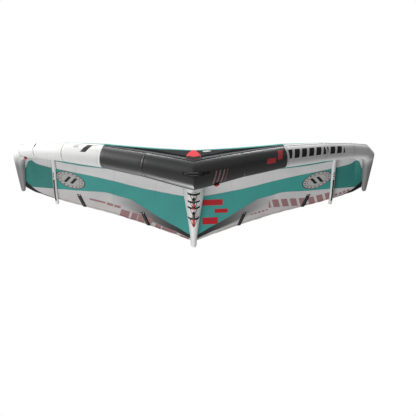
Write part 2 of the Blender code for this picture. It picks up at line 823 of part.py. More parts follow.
def make_pad(name, rings_low, rings_high, place, finish):
    """Cloth patch on the strut's belly under the feet of a yoke."""
    belly = STRUT_SIDES // 2
    middle = place_of(rings_low, place, belly)
    span = (ring_between(rings_low, int(middle) + 1, belly)
            - ring_between(rings_low, int(middle), belly)).length
    half = PAD_LENGTH / 2 / span
    places = [middle - half]
    places += [float(k) for k in range(len(rings_low)) if middle - half < k < middle + half]
    places.append(middle + half)
    columns = range(belly - PAD_FACETS, belly + PAD_FACETS + 1)
    low = [[ring_between(rings_low, p, k) for k in columns] for p in places]
    high = [[ring_between(rings_high, p, k) for k in columns] for p in places]
    return slab_between(name, low, high, finish)


def make_strut_handles(centres, radii, finishes):
    """Two grips under the strut, each in two colours and hung from two yokes."""
    belly = STRUT_SIDES // 2
    low = strut_rings(centres, radii, GAP, STRUT_SIDES)[0]
    high = strut_rings(centres, radii, GAP + PAD_THICKNESS, STRUT_SIDES)[0]
    skin = strut_rings(centres, radii, PAD_THICKNESS + 2 * GAP, STRUT_SIDES)[0]
    strut_cutter = solid_loft("strut_space", skin, finishes["webbing"])
    reaches = [share * CHORD_REACH for share in YOKE_REACH_SHARES]
    hangs = []
    for number, reach in enumerate(reaches, 1):
        make_pad(f"handle_pad_{number}", low, high, reach, finishes["pad"])
        foot = ring_between(low, place_of(low, reach, belly), belly)
        hangs.append(foot - UP * HANDLE_DROP)
    for number, (front, rear) in enumerate((hangs[:2], hangs[2:]), 1):
        title = ("front", "rear")[number - 1]
        along = (rear - front).normalized()
        length = (rear - front).length
        start = front - along * GRIP_NOSE
        middle = front + along * length * BLACK_GRIP_SHARE
        end = rear + along * GRIP_TAIL
        bore = GRIP_CORE_RADIUS + RUNNING_CLEARANCE
        tube_between(f"{title}_grip_black", start, middle - along * GAP / 2, GRIP_RADIUS, bore,
                     SMALL_SIDES, finishes["black_foam"])
        tube_between(f"{title}_grip_red", middle + along * GAP / 2, end, GRIP_RADIUS, bore,
                     SMALL_SIDES, finishes["red_foam"])
        tube_between(f"{title}_grip_core", start + along * GRIP_CORE_INSET,
                     end - along * GRIP_CORE_INSET, GRIP_CORE_RADIUS, 0, CORE_SIDES,
                     finishes["webbing"])
        space = tube_between(f"{title}_grip_space", start - along * OVERRUN,
                             end + along * OVERRUN, GRIP_RADIUS + GAP, 0, SMALL_SIDES,
                             finishes["webbing"])
        for place, where in ((front, "a"), (rear, "b")):
            make_yoke(f"{title}_handle_yoke_{where}", place, along, strut_cutter, space,
                      finishes["webbing"])


def frame_at(origin, outward, towards):
    """A placement whose z axis points outward and whose x axis leans towards a direction."""
    z = outward.normalized()
    x = (towards - z * towards.dot(z)).normalized()
    y = z.cross(x)
    place = Matrix((x, y, z)).transposed().to_4x4()
    place.translation = origin
    return place


def tube_outward(station, angle):
    """Direction straight out of the leading edge's cloth, square to its taper."""
    along = (tube_point(station + STATION_STEP, angle)
             - tube_point(station - STATION_STEP, angle))
    around = (tube_point(station, angle + TANGENT_STEP)
              - tube_point(station, angle - TANGENT_STEP))
    outward = along.cross(around).normalized()
    if outward.dot(tube_point(station, angle) - tube_axis(station)) < 0:
        outward = -outward
    return outward


def block(name, place, low, high, finish):
    """A box between two corners of a placement."""
    vertices = []
    for x in (low[0], high[0]):
        for y in (low[1], high[1]):
            for z in (low[2], high[2]):
                vertices.append(place @ Vector((x, y, z)))
    faces = [(0, 1, 3, 2), (4, 5, 7, 6), (0, 1, 5, 4), (2, 3, 7, 6), (0, 2, 6, 4), (1, 3, 7, 5)]
    return add_object(name, vertices, faces, finish)


def rod(name, place, radius, half_length, centre, finish):
    """A rod along the y axis of a placement."""
    rings = []
    for y in (-half_length, half_length):
        rings.append([place @ Vector((centre[0] + radius * math.cos(2 * math.pi * k / ROD_SIDES),
                                      y,
                                      centre[1] + radius * math.sin(2 * math.pi * k / ROD_SIDES)))
                      for k in range(ROD_SIDES)])
    return solid_loft(name, rings, finish)


def fuse(target, piece):
    """Make a piece part of the target, and keep the loose piece out of the model."""
    piece.hide_render = True
    piece.display_type = "WIRE"
    boolean = target.modifiers.new(piece.name, "BOOLEAN")
    boolean.operation = "UNION"
    boolean.object = piece


def make_valve(name, station, side, radius, walls, finishes):
    """A valve with a neck through the cloth, a red seat and a black cap on a hinge."""
    origin = tube_point(station, VALVE_ANGLE, GAP)
    outward = tube_outward(station, VALVE_ANGLE)
    if side < 0:
        origin, outward = mirrored([origin, outward])
    place = frame_at(origin, outward, Vector((0, 1, 0)))
    bore = radius * VALVE_BORE_SHARE
    neck = radius * VALVE_NECK_SHARE
    depth = radius * NECK_DEPTH_SHARE
    flange = radius * FLANGE_HEIGHT_SHARE
    base = turned(name + "_base", ((bore, -depth), (neck, -depth), (neck, 0), (radius, 0),
                                   (radius, flange), (bore, flange)), place, False,
                  finishes["valve_black"])
    seat_top = flange + GAP + radius * SEAT_HEIGHT_SHARE
    seat_radius = radius * SEAT_RADIUS_SHARE
    turned(name + "_seat", ((bore, flange + GAP), (seat_radius, flange + GAP),
                            (seat_radius, seat_top), (bore, seat_top)), place, False,
           finishes["valve_red"])
    cap_low = seat_top + GAP
    cap_radius = radius * CAP_RADIUS_SHARE
    cap_top = cap_low + radius * CAP_HEIGHT_SHARE
    bevel = radius * CAP_BEVEL_SHARE
    plug = bore - RUNNING_CLEARANCE
    cap = turned(name + "_cap", ((plug, cap_low - bevel), (plug, cap_low), (cap_radius, cap_low),
                                 (cap_radius, cap_top - bevel), (cap_radius - bevel, cap_top)),
                 place, True, finishes["valve_black"])
    pin = radius * HINGE_PIN_SHARE
    knuckle = 2 * pin
    pivot = (radius + 2 * pin, flange + knuckle + RUNNING_CLEARANCE)
    half = radius * HINGE_WIDTH_SHARE
    ear = half + RUNNING_CLEARANCE
    fuse(base, block(name + "_lug", place, (radius - 2 * knuckle, -2 * half, GAP),
                     (pivot[0] + knuckle, 2 * half, flange - GAP), finishes["valve_black"]))
    for way in (-1, 1):
        sides = sorted((way * ear, way * 2 * half))
        fuse(base, block(f"{name}_ear_{way}", place, (radius + GAP, sides[0], GAP),
                         (pivot[0] + knuckle - GAP, sides[1], pivot[1] + knuckle),
                         finishes["valve_black"]))
    fuse(base, rod(name + "_pin", place, pin, 2 * half - GAP, pivot, finishes["valve_black"]))
    fuse(cap, block(name + "_arm", place, (cap_radius - knuckle, GAP - half, cap_low + GAP),
                    (pivot[0], half - GAP, cap_low + knuckle), finishes["valve_black"]))
    fuse(cap, rod(name + "_knuckle", place, knuckle, half, pivot, finishes["valve_black"]))
    cut(cap, rod(name + "_bore", place, pin + RUNNING_CLEARANCE, half + OVERRUN, pivot,
                 finishes["valve_black"]))
    put_origin(cap, place @ Vector((pivot[0], 0, pivot[1])))
    hole = turned(name + "_hole", ((neck + RUNNING_CLEARANCE, -depth - OVERRUN),
                                   (neck + RUNNING_CLEARANCE, OVERRUN)), place, True,
                  finishes["valve_black"])
    for wall in walls:
        cut(wall, hole)


def strap(name, path, half_widths, half_thicknesses, across, finish):
    """A webbing strap of oval section along a path."""
    rings = []
    for i, centre in enumerate(path):
        before = path[max(i - 1, 0)]
        after = path[min(i + 1, len(path) - 1)]
        along = (after - before).normalized()
        rise = along.cross(across).normalized()
        rings.append([centre + across * half_widths[i] * math.cos(2 * math.pi * k / ROD_SIDES)
                      + rise * half_thicknesses[i] * math.sin(2 * math.pi * k / ROD_SIDES)
                      for k in range(ROD_SIDES)])
    return solid_loft(name, rings, finish)


def nose_handle_station():
    """Station of the leading edge where the nose handle's feet stand."""
    return NOSE_HANDLE_HALF_WIDTH / CENTRES[1].x


def facet_seat(station):
    """Height of a flat piece over the tube's circle when it lies on one of its facets."""
    return GAP - tube_radius(station) * (1 - math.cos(math.pi / TUBE_SIDES))


def make_nose_handle(finishes):
    """Grip on the front of the leading edge, its two feet and the leash patch beside it."""
    station = nose_handle_station()
    origin = tube_point(station, NOSE_HANDLE_ANGLE, facet_seat(station))
    outward = tube_outward(station, NOSE_HANDLE_ANGLE)
    for side in (-1, 1):
        along = Vector((side * DIRECTIONS[0].x, DIRECTIONS[0].y, DIRECTIONS[0].z))
        foot = origin if side > 0 else mirrored([origin])[0]
        out = outward if side > 0 else mirrored([outward])[0]
        place = frame_at(foot, out, along)
        block(side_name("nose_handle_foot", side), place,
              (-NOSE_PLATE_LENGTH / 2, -NOSE_PLATE_WIDTH / 2, 0),
              (NOSE_PLATE_LENGTH / 2, NOSE_PLATE_WIDTH / 2, NOSE_PLATE_THICKNESS),
              finishes["pad"])
        if side > 0:
            block("leash_patch", place,
                  (LEASH_PATCH_SHIFT - LEASH_PATCH_LENGTH / 2, -LEASH_PATCH_WIDTH / 2, 0),
                  (LEASH_PATCH_SHIFT + LEASH_PATCH_LENGTH / 2, LEASH_PATCH_WIDTH / 2,
                   NOSE_PLATE_THICKNESS), finishes["webbing"])
    root = origin + outward * (NOSE_PLATE_THICKNESS + GAP + NOSE_ROOT_RADIUS)
    out = Vector((0, outward.y, outward.z)).normalized()
    across = out.cross(Vector((1, 0, 0)))
    middle = Vector((0, root.y, root.z))
    half = NOSE_GRIP_LENGTH / 2
    path = []
    for x_share, rise_share in STRAP_PATH_SHARES:
        path.append(middle + Vector((half + (root.x - half) * x_share, 0, 0))
                    + out * NOSE_HANDLE_STANDOFF * rise_share)
    leave = (path[1] - path[0]).normalized()
    turns = [math.pi / 2 * k / ROOT_STEPS for k in range(1, ROOT_STEPS)]
    balls = [NOSE_ROOT_RADIUS * math.sin(turn) for turn in turns] + [NOSE_ROOT_RADIUS]
    path = [path[0] - leave * NOSE_ROOT_RADIUS * math.cos(turn) for turn in turns] + path
    path = mirrored(path) + list(reversed(path))
    core = [NOSE_CORE_RADIUS] * (len(STRAP_PATH_SHARES) - len(STRAP_WIDTH_SHARES) - 1)
    widths = balls + [NOSE_WEBBING_HALF_WIDTH * share for share in STRAP_WIDTH_SHARES] + core
    widths += list(reversed(widths))
    thin = balls + [NOSE_ROOT_RADIUS * share for share in STRAP_THICKNESS_SHARES] + core
    thin += list(reversed(thin))
    webbing = strap("nose_handle_webbing", path, widths, thin, across, finishes["webbing"])
    grip_middle = middle + out * NOSE_HANDLE_STANDOFF
    ends = [grip_middle + Vector((way * (half - GAP), 0, 0)) for way in (-1, 1)]
    bore = NOSE_CORE_RADIUS + RUNNING_CLEARANCE
    grip = tube_between("nose_handle_grip", ends[0], ends[1], NOSE_GRIP_RADIUS, bore, SMALL_SIDES,
                        finishes["black_foam"])
    for moving in (webbing, grip):
        put_origin(moving, middle)


def make_edge_trim(finishes):
    """Bands along the trailing edge, and the black patches at its outer corners."""
    seat = CANOPY_THICKNESS / 2 + SEAM_GAP
    inner = EDGE_START_STATION
    outer = MINI_STRUT_STATION - EDGE_END_MARGIN
    stations = [inner] + [s for s in CLOTH_STATIONS if inner < s < outer] + [outer]
    corner = [s for s in CLOTH_STATIONS if s > MINI_STRUT_STATION + EDGE_END_MARGIN]
    corner = [MINI_STRUT_STATION + EDGE_END_MARGIN] + corner[:-1]
    for side in (-1, 1):
        for name, places, depths in (
                ("trailing_edge_band", stations, [EDGE_BAND_WIDTH] * len(stations)),
                ("tip_corner_patch", corner,
                 [max(EDGE_BAND_WIDTH, CORNER_PATCH_DEPTH * k / (len(corner) - 1))
                  for k in range(len(corner))])):
            rows = []
            normals = []
            for back_share in (1.0, 0.5, 0.0):
                shares = [share_before_edge(s, d * back_share) for s, d in zip(places, depths)]
                rows.append([cloth(s, share) for s, share in zip(places, shares)])
                normals.append([canopy_normal(s, share) for s, share in zip(places, shares)])
            normals = [flip([row], side)[0] for row in normals]
            slab(side_name(name, side), flip(rows, side), normals, -seat - PATCH_THICKNESS,
                 -seat, finishes["black_dacron" if name == "tip_corner_patch" else "edge_band"])


def make_nose_patch(finishes):
    """Red reinforcement on top of the cloth where both halves meet at the nose."""
    seat = CANOPY_THICKNESS / 2 + SEAM_GAP
    grid = []
    normals = []
    rows = [(None, LAP_ANGLE * (1 - k / LAP_STEPS)) for k in range(1, LAP_STEPS)]
    rows += [(share, 0.0) for share in ROW_SHARES[:NOSE_PATCH_ROWS]]
    middle = SEAM_GAP + CANOPY_THICKNESS / 2
    for number, (share, over) in enumerate(rows):
        width = NOSE_PATCH_HALF_WIDTH * (1 - NOSE_PATCH_TAPER_SHARE * number / (len(rows) - 1))
        edge = CLOTH_STATIONS[1]
        if share is None:
            near = tube_point(0, lift_angle(0) + over, middle)
            far = tube_point(edge, lift_angle(edge) + over, middle)
        else:
            near = canopy_point(0, share)
            far = canopy_point(edge, share)
        near.x = 0
        points = [near.lerp(far, width * k / 2 / far.x) for k in (1, 2)]
        grid.append(mirrored(reversed(points)) + [near] + points)
    found = grid_normals(grid, (2,))
    slab("nose_patch", grid, found, seat, seat + PATCH_THICKNESS, finishes["red_patch"])


def make_battens(finishes):
    """Short battens in open-ended pockets under the trailing edge."""
    pocket_half = BATTEN_WIDTH / 2 + RUNNING_CLEARANCE + POCKET_WALL
    pocket_rise = BATTEN_THICKNESS / 2 + RUNNING_CLEARANCE + POCKET_WALL
    seat = CANOPY_THICKNESS / 2 + PATCH_THICKNESS + 2 * SEAM_GAP + pocket_rise
    for side in (-1, 1):
        for number, station in enumerate(BATTEN_STATIONS, 1):
            centres = []
            for step in range(BATTEN_STEPS + 1):
                back = 1 - step / BATTEN_STEPS
                place = station + BATTEN_LEAN * back
                share = share_before_edge(place, BATTEN_LENGTH * back + EDGE_INSET)
                centres.append(cloth(place, share) - canopy_normal(place, share) * seat)
            normal = canopy_normal(station, 1 - BATTEN_LEAN)
            if side < 0:
                centres = mirrored(centres)
                normal = mirrored([normal])[0]
            along = (centres[-1] - centres[0]).normalized()
            across = along.cross(normal).normalized()
            rise = across.cross(along)
            skins = []
            for half, high in ((pocket_half, pocket_rise),
                               (pocket_half - POCKET_WALL, pocket_rise - POCKET_WALL)):
                rings = []
                for centre in centres:
                    rings.append([centre + across * x * half + rise * z * high
                                  for x, z in ((-1, -1), (1, -1), (1, 1), (-1, 1))])
                skins.append(rings)
            skins[1][0] = [p + along * POCKET_WALL for p in skins[1][0]]
            name = side_name(f"batten_pocket_{number}", side)
            shell(name, *skins, finishes["black_dacron"], "closed", "open")
            strip = []
            half = BATTEN_WIDTH / 2
            high = BATTEN_THICKNESS / 2
            ends = [centres[0] + along * 2 * POCKET_WALL] + centres[1:-1]
            ends.append(centres[-1] - along * POCKET_WALL)
            for centre in ends:
                strip.append([centre + across * x * half + rise * z * high
                              for x, z in ((-1, -1), (1, -1), (1, 1), (-1, 1))])
            solid_loft(side_name(f"batten_{number}", side), strip, finishes["batten"])


def centre_over_origin():
    """Slide the whole wing along Y until the origin is below the middle of its length."""
    bpy.context.view_layer.update()
    reaches = [(made.matrix_world @ Vector(corner)).y for made in bpy.data.objects
               if not made.hide_render for corner in made.bound_box]
    middle = (min(reaches) + max(reaches)) / 2
    for made in bpy.data.objects:
        made.location.y -= middle


def main():
    """Build the whole wing."""
    for found in list(bpy.data.objects):
        bpy.data.objects.remove(found)
    finishes = {
        "black_dacron": material("black_dacron", (0.030, 0.030, 0.032), 0.55),
        "white_dacron": material("white_dacron", (0.80, 0.80, 0.80), 0.50),
        "grey_dacron": material("grey_dacron", (0.22, 0.22, 0.22), 0.50),
        "canopy_main": material("teal_ripstop", (0.050, 0.270, 0.235), 0.45),
        "canopy_tip": material("teal_tip_ripstop", (0.060, 0.300, 0.260), 0.45),
        "edge_band": material("trailing_edge_tape", (0.50, 0.46, 0.46), 0.55),
        "red_patch": material("red_patch", (0.70, 0.05, 0.08), 0.50),
        "pad": material("strut_pad", (0.040, 0.040, 0.042), 0.70),
        "webbing": material("webbing", (0.020, 0.020, 0.022), 0.75),
        "black_foam": material("black_foam", (0.025, 0.025, 0.027), 0.80),
        "red_foam": material("red_foam", (0.60, 0.02, 0.03), 0.65),
        "valve_black": material("valve_black", (0.020, 0.020, 0.020), 0.40),
        "valve_red": material("valve_red", (0.60, 0.02, 0.03), 0.40),
        "hose": material("hose", (0.60, 0.62, 0.64), 0.35),
        "batten": material("batten", (0.75, 0.74, 0.68), 0.35),
        "bladder": material("bladder", (0.75, 0.78, 0.80), 0.30),
    }
    make_canopy(finishes)
    casings = make_leading_edge(finishes)
    long_bladder = make_leading_edge_bladder(finishes)
    centres, radii = make_struts(casings, long_bladder, finishes)
    make_strut_handles(centres, radii, finishes)
    make_nose_handle(finishes)
    make_valve("inflation_valve", VALVE_STATION, 1, VALVE_RADIUS,
               (casings["center"], long_bladder), finishes)
    make_valve("deflation_valve", DUMP_STATION, -1, DUMP_RADIUS,
               (casings[-1], long_bladder), finishes)
    make_edge_trim(finishes)
    make_nose_patch(finishes)
    make_battens(finishes)
    centre_over_origin()


main()
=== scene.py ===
"""Looks of the inflatable hand-held wing: cloth, tubes, webbing, grips, light and camera.

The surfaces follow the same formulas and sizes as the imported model, in metres. They are worked out
with the root of the leading edge at Y = 0 and are moved into the frame by FRAME_SHIFT.
"""
import json
import math

import bmesh
import bpy
import numpy as np
from mathutils import Matrix, Vector


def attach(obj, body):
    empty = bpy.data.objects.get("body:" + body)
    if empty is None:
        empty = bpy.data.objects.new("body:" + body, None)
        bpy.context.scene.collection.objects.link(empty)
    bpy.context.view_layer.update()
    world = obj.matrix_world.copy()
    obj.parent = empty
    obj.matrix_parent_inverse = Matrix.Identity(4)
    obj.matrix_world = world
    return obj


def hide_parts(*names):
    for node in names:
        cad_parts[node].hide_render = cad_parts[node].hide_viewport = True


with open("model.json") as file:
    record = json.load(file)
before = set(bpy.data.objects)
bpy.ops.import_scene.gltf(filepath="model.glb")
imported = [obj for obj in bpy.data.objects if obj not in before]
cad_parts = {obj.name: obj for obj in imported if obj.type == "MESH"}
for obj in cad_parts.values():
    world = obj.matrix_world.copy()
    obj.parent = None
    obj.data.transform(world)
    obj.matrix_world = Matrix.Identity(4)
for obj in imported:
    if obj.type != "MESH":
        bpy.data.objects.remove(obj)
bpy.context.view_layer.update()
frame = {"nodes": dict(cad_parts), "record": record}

FRAME_SHIFT = Vector((0, -1.004231, 0))
UP = Vector((0, 0, 1))

# The wing's sizes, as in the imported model
HALF_SPAN = 1.94
CORNER_SWEEP = 0.725
CORNER_RISE = 0.495
ROOT_RADIUS = 0.168
TIP_TUBE_LENGTH = 0.805
TIP_TUBE_DROP = 0.106
TIP_END_RADIUS = 0.026
CHORD_REACH = 2.2
TRAILING_ROOT_DROP = 0.043
TRAILING_SWEEP = 0.7
TRAILING_RISE = 0.421
STRUT_RADIUS = 0.12
STRUT_OVERHANG = 0.02
MINI_STRUT_RADIUS = 0.025
MINI_STRUT_OVERHANG = 0.045
CLOTH_SEAT = 0.0016
ELBOW_LIFT = 0.0014
JOINT_SHARES = ((0.0, 0.0, 0.0, 1.0), (0.2515, 0.175, 0.315, 0.83),
                (0.4876, 0.349, 0.584, 0.717), (0.706, 0.545, 0.784, 0.592),
                (0.871, 0.752, 0.941, 0.47), (0.951, 0.883, 1.0, 0.4286),
                (0.982, 1.0, 0.966, 0.369))
COLOUR_JOINT = 2
ELBOW_JOINT = 5
CORNER_JOINT = 6
TIP_JOINT = 7
MINI_STATION = 3.75
PUCKER_END = 5.999
TRAILING_SHARES = ((0.0, 0.0, 0.0, 0.0), (1.0, 0.2443, 0.276, 0.283),
                   (2.0, 0.4737, 0.489, 0.527), (3.0, 0.6856, 0.671, 0.703),
                   (3.75, 0.8057, 0.796, 0.796), (5.0, 0.928, 0.936, 0.926))
LIFT_ANGLES = ((0.0, 44.0), (1.0, 38.0), (2.0, 34.0), (3.0, 30.0), (4.0, 28.0), (5.0, 28.0))
TRAILING_ANGLES = ((0.0, 22.0), (1.0, 20.0), (2.0, 17.0), (3.0, 15.0), (4.0, 13.0), (5.0, 12.0))
FRONT_FULLNESS = ((0.0, 0.345), (1.0, 0.315), (2.0, 0.25), (3.0, 0.2), (5.0, 0.2))
REAR_FULLNESS = ((0.0, 0.4), (1.0, 0.38), (2.0, 0.36), (3.0, 0.34), (5.0, 0.3))
TIP_TUBE_ANGLE = -15.0
LAP_ANGLE = 15.0
TIP_REACH_SHARE = 0.97
STRUT_TAPER = ((0.0, 1.0), (0.545, 1.0), (0.6, 0.875), (0.9, 0.39), (1.0, 0.28))
MINI_TAPER = ((0.0, 1.0), (1.0, 0.8))
HANGS = ((1.001, 0.2398), (1.1594, 0.2092), (1.331, 0.1869), (1.5884, 0.1462))
HANDLE_DROP = 0.06
YOKE_HALF_WIDTH = 0.05
GRIP_RADIUS = 0.014
GRIP_BORE = 0.0085
GRIP_NOSE = 0.02
GRIP_TAIL = 0.05
BATTEN_STATIONS = (1.11, 2.79)
BATTEN_LEAN = 0.15
BATTEN_LENGTH = 0.2
BATTEN_WIDTH = 0.026
NOSE_STATION = 0.174212
NOSE_ANGLE = 112.5
NOSE_ROOT = Vector((0.0965, -0.1374, 0.1258))
NOSE_OUT = Vector((0, -0.9217, -0.3879))
NOSE_REACH = 0.085
STRAP_SHARES = ((1.0, 0.0), (0.92, 0.2), (0.7, 0.55), (0.4, 0.88), (0.12, 1.0), (0.0, 1.0))

# The valves: place of the base, outward direction and radius
VALVES = {"inflation": ((0.2352, 0.0612, 0.0882), (0.3332, 0.0785, -0.9396), 0.031),
          "deflation": ((-1.8164, 0.6227, 0.5908), (-0.1662, 0.1089, -0.9801), 0.021)}

# The nose patch: shares of its length over the lap and before its red part, reach and half width
NOSE_PATCH_LAP = 0.28
NOSE_PATCH_RED = 0.375
NOSE_PATCH_REACH = 0.16
NOSE_PATCH_HALF = 0.088

# Thicknesses and steps of the visible pieces
CASING_WALL = 0.0012
TAPE_WALL = 0.0003
HALF_CLOTH = 0.0005
PIECE_GAP = 0.0003
BLADDER_GAP = 0.006
STRUT_BLADDER_GAP = 0.005
END_STEP = 0.0001
TUBE_SIDES = 96
BLADDER_SIDES = 32
LID_SIDES = 72
YOKE_STRAP = (0.0125, 0.0014)
STRAP_STEPS = 40
STRAP_WIDTHS = ((0, 0.005), (6, 0.0125), (20, 0.0125), (31, 0.0075), (40, 0.0075))
STRAP_THICKNESSES = ((0, 0.003), (3, 0.002), (18, 0.002), (31, 0.0075), (40, 0.0075))
SEAM_TAPE_SECTION = ((-1.0, 0.0003), (-0.95, 0.0012), (0.0, 0.0014), (0.95, 0.0012), (1.0, 0.0003))
CORNER_DEPTHS = ((3.87, 0.006), (4.0, 0.008), (4.5, 0.013), (5.0, 0.05), (5.2, 0.07),
                 (5.4, 0.088), (5.6, 0.105), (5.8, 0.13))

# Section of a hem: metres before the edge, then height over the cloth's middle in half hems
HALF_HEM = 0.0014
HEM_FOLD = ((0.03, -0.9), (0.029, -1.3), (0.015, -1.4), (0.003, -1.4), (-0.0006, -1.1),
            (-0.0016, 0.0), (-0.0006, 1.1), (0.003, 1.4), (0.015, 1.4), (0.029, 1.3), (0.03, 0.9))

# Section of a batten pocket: half widths from its middle, then depth under the cloth's middle
POCKET_TOP = 0.003
POCKET_SECTION = ((-1.35, 0.0035), (-1.12, 0.0038), (-1.0, 0.0085), (-0.5, 0.0101), (0.0, 0.0104),
                  (0.5, 0.0101), (1.0, 0.0085), (1.12, 0.0038), (1.35, 0.0035))

# Borders of the printed zones of the cloth: station, then share of the profile
CLOSURE_END = ((0, 0.021), (0.44, 0.025), (0.93, 0.044), (1.3, 0.042), (1.5, 0.036), (2, 0.013),
               (3, 0.012), (6, 0.004))
FRONT_BLACK_END = ((0, 0.128), (0.5, 0.1), (1, 0.065), (1.3, 0.048), (1.5, 0.038), (2, 0.015),
                   (3, 0.013), (3.75, 0.005), (6, 0.005))
FRONT_TEAL_END = ((0, 0.6), (1.28, 0.56), (2.2, 0.543), (3, 0.514), (3.75, 0.467), (5, 0.4),
                  (6, 0.35))
WHITE_END = ((0, 0.714), (0.28, 0.714), (1.13, 0.705), (2.08, 0.662), (2.7, 0.625),
             (3.28, 0.595), (3.8, 0.565), (4.07, 0.552), (4.68, 0.517), (5.33, 0.432),
             (5.67, 0.532), (6, 0.62))
TEAL_END = ((0, 0.968), (0.13, 0.963), (0.37, 0.945), (0.6, 0.93), (0.84, 0.91), (1.08, 0.882),
            (1.37, 0.843), (1.63, 0.812), (1.93, 0.803), (2.2, 0.79), (2.68, 0.805),
            (3.13, 0.82), (3.65, 0.835), (4.85, 0.888), (5.17, 0.907), (5.5, 0.915), (6, 0.93))
WEDGE_END = ((0, 0.988), (0.13, 0.987), (0.43, 0.979), (0.8, 0.971), (1.03, 0.963), (1.4, 0.935),
             (1.83, 0.895), (2.2, 0.886), (3.3, 0.885), (3.75, 0.9), (4.85, 0.945), (6, 0.96))
ZONE_ROWS = (4, 4, 5, 20, 12, 14, 7, 7)

# Printed marks of the trailing edge. Left: slanted place from the middle, then metres before the
# edge, each as low and high. Right, red: place before the edge plus half the place across.
LEFT_MARKS = ((0.76, 0.86, 0.01, 0.147), (0.667, 0.736, 0.01, 0.147),
              (0.577, 0.66, 0.01, 0.147), (0.5, 0.565, 0.01, 0.147),
              (0.39, 0.455, 0.0, 0.08), (0.205, 0.376, 0.013, 0.065),
              (0.062, 0.162, 0.0, 0.033), (0.96, 1.03, 0.15, 0.2),
              (0.875, 0.945, 0.15, 0.2), (1.045, 1.225, 0.162, 0.198))
RED_BARS = ((0.64, 0.745, 0.1, 0.33), (0.5, 0.575, 0.24, 0.39), (0.3, 0.425, 0.1, 0.28))

TEAL = (0.052, 0.352, 0.32)
TEAL_TIP = (0.04, 0.252, 0.222)
WHITE = (0.8, 0.8, 0.79)
BAND_WHITE = (0.73, 0.725, 0.72)
BLACK = (0.01, 0.01, 0.011)
RED = (0.5, 0.006, 0.016)
PALE = (0.61, 0.58, 0.57)
DUSKY = (0.36, 0.19, 0.19)
LIGHT_GREY = (0.64, 0.63, 0.63)
# Grey of the tip tubes: partly the cloth, partly painted shade on their aft part and on their bottom
# and inboard side
TIP_GREY_AND_SHADE = (0.21, 0.21, 0.21)
FINISHES = {}


def spread(first, last, steps):
    """Evenly spaced values."""
    return [first + (last - first) * k / steps for k in range(steps + 1)]


def turns_of(sides):
    """Angles round a tube, in radians; the last closes the turn."""
    return spread(0.0, 2 * math.pi, sides)


def hermite(places, values, slopes, place):
    """Read a smooth curve through rows of values with given slopes."""
    place = min(max(place, places[0]), places[-1])
    i = min(int(np.searchsorted(places, place, side="right")) - 1, len(places) - 2)
    step = places[i + 1] - places[i]
    t = (place - places[i]) / step
    near = (1 + 2 * t) * (1 - t) ** 2 * values[i] + t * (1 - t) ** 2 * step * slopes[i]
    return near + t * t * (3 - 2 * t) * values[i + 1] + t * t * (t - 1) * step * slopes[i + 1]


def follow(table, place):
    """Read a table of (place, value, ...) rows on a smooth curve through them."""
    places = [row[0] for row in table]
    values = np.array([row[1:] for row in table], dtype=float)
    return hermite(places, values, np.gradient(values, places, axis=0), place)


def steady(table, place):
    """Read a table of (place, value) rows on a smooth curve that never overshoots them."""
    places, values = np.array(table, dtype=float).T
    rises = np.diff(values) / np.diff(places)
    slopes = np.concatenate(([rises[0]], np.zeros(len(rises) - 1), [rises[-1]]))
    for i in range(1, len(rises)):
        if rises[i - 1] * rises[i] > 0:
            slopes[i] = 2 * rises[i - 1] * rises[i] / (rises[i - 1] + rises[i])
    return float(hermite(places, values, slopes, place))


def straight(table, place):
    """Read a table of (place, value) rows with straight lines between them."""
    return float(np.interp(place, [row[0] for row in table], [row[1] for row in table]))


def runs_along(points):
    """Length from the first point of a line to each of its points."""
    return np.cumsum([0.0] + [(b - a).length for a, b in zip(points, points[1:])])


def ring_point(centre, along, plane, radius, angle):
    """A point of a tube at an angle from its top, slid along it onto the plane of a joint."""
    up = (UP - along * along.z).normalized()
    side = along.cross(up)
    offset = (up * math.cos(angle) + side * math.sin(angle)) * radius
    return centre + offset - along * (offset.dot(plane) / along.dot(plane))


def ring(centre, along, radius, sides):
    """A circle of points round a line."""
    return [ring_point(centre, along, along, radius, turn) for turn in turns_of(sides)[:-1]]


def joint_planes(centres):
    """Directions between centres, and the planes that halve their bends."""
    ways = [(b - a).normalized() for a, b in zip(centres, centres[1:])]
    middle = [(a + b).normalized() for a, b in zip(ways, ways[1:])]
    return ways, [ways[0]] + middle + [ways[-1]]


def panel_joints():
    """Centres, radii, directions and joint planes of the right half of the leading edge."""
    centres = [Vector((x * HALF_SPAN, y * CORNER_SWEEP, z * CORNER_RISE))
               for x, y, z, _ in JOINT_SHARES]
    radii = [row[3] * ROOT_RADIUS for row in JOINT_SHARES] + [TIP_END_RADIUS]
    corner = centres[CORNER_JOINT]
    centres.append(Vector((HALF_SPAN, corner.y + TIP_TUBE_LENGTH, corner.z - TIP_TUBE_DROP)))
    directions, planes = joint_planes(centres)
    planes[0] = Vector((1, 0, 0))
    lowest = min(ring_point(centres[0], directions[0], planes[0], radii[0], turn).z
                 for turn in turns_of(24))
    for centre in centres:
        centre.z -= lowest
    return centres, radii, directions, planes


CENTRES, RADII, DIRECTIONS, PLANES = panel_joints()
PANELS = [(b - a).length for a, b in zip(CENTRES, CENTRES[1:])]
ROOT_HEIGHT = CENTRES[0].z


def panel(station):
    """The panel of the leading edge at a station, and the share along it."""
    first = min(int(station), TIP_JOINT - 1)
    return first, station - first


def tube_point(station, angle, extra=0.0):
    """A point on the right half of the leading edge, so far out from its cloth."""
    first, share = panel(station)
    ends = [ring_point(CENTRES[joint], DIRECTIONS[first], PLANES[joint], RADII[joint] + extra,
                       math.radians(angle)) for joint in (first, first + 1)]
    return ends[0].lerp(ends[1], share)


def tube_radius(station):
    """The leading edge's radius at a station."""
    first, share = panel(station)
    return RADII[first] * (1 - share) + RADII[first + 1] * share


def tube_run(station):
    """Length along the leading edge from its root to a station."""
    first, share = panel(station)
    return sum(PANELS[:first]) + PANELS[first] * share


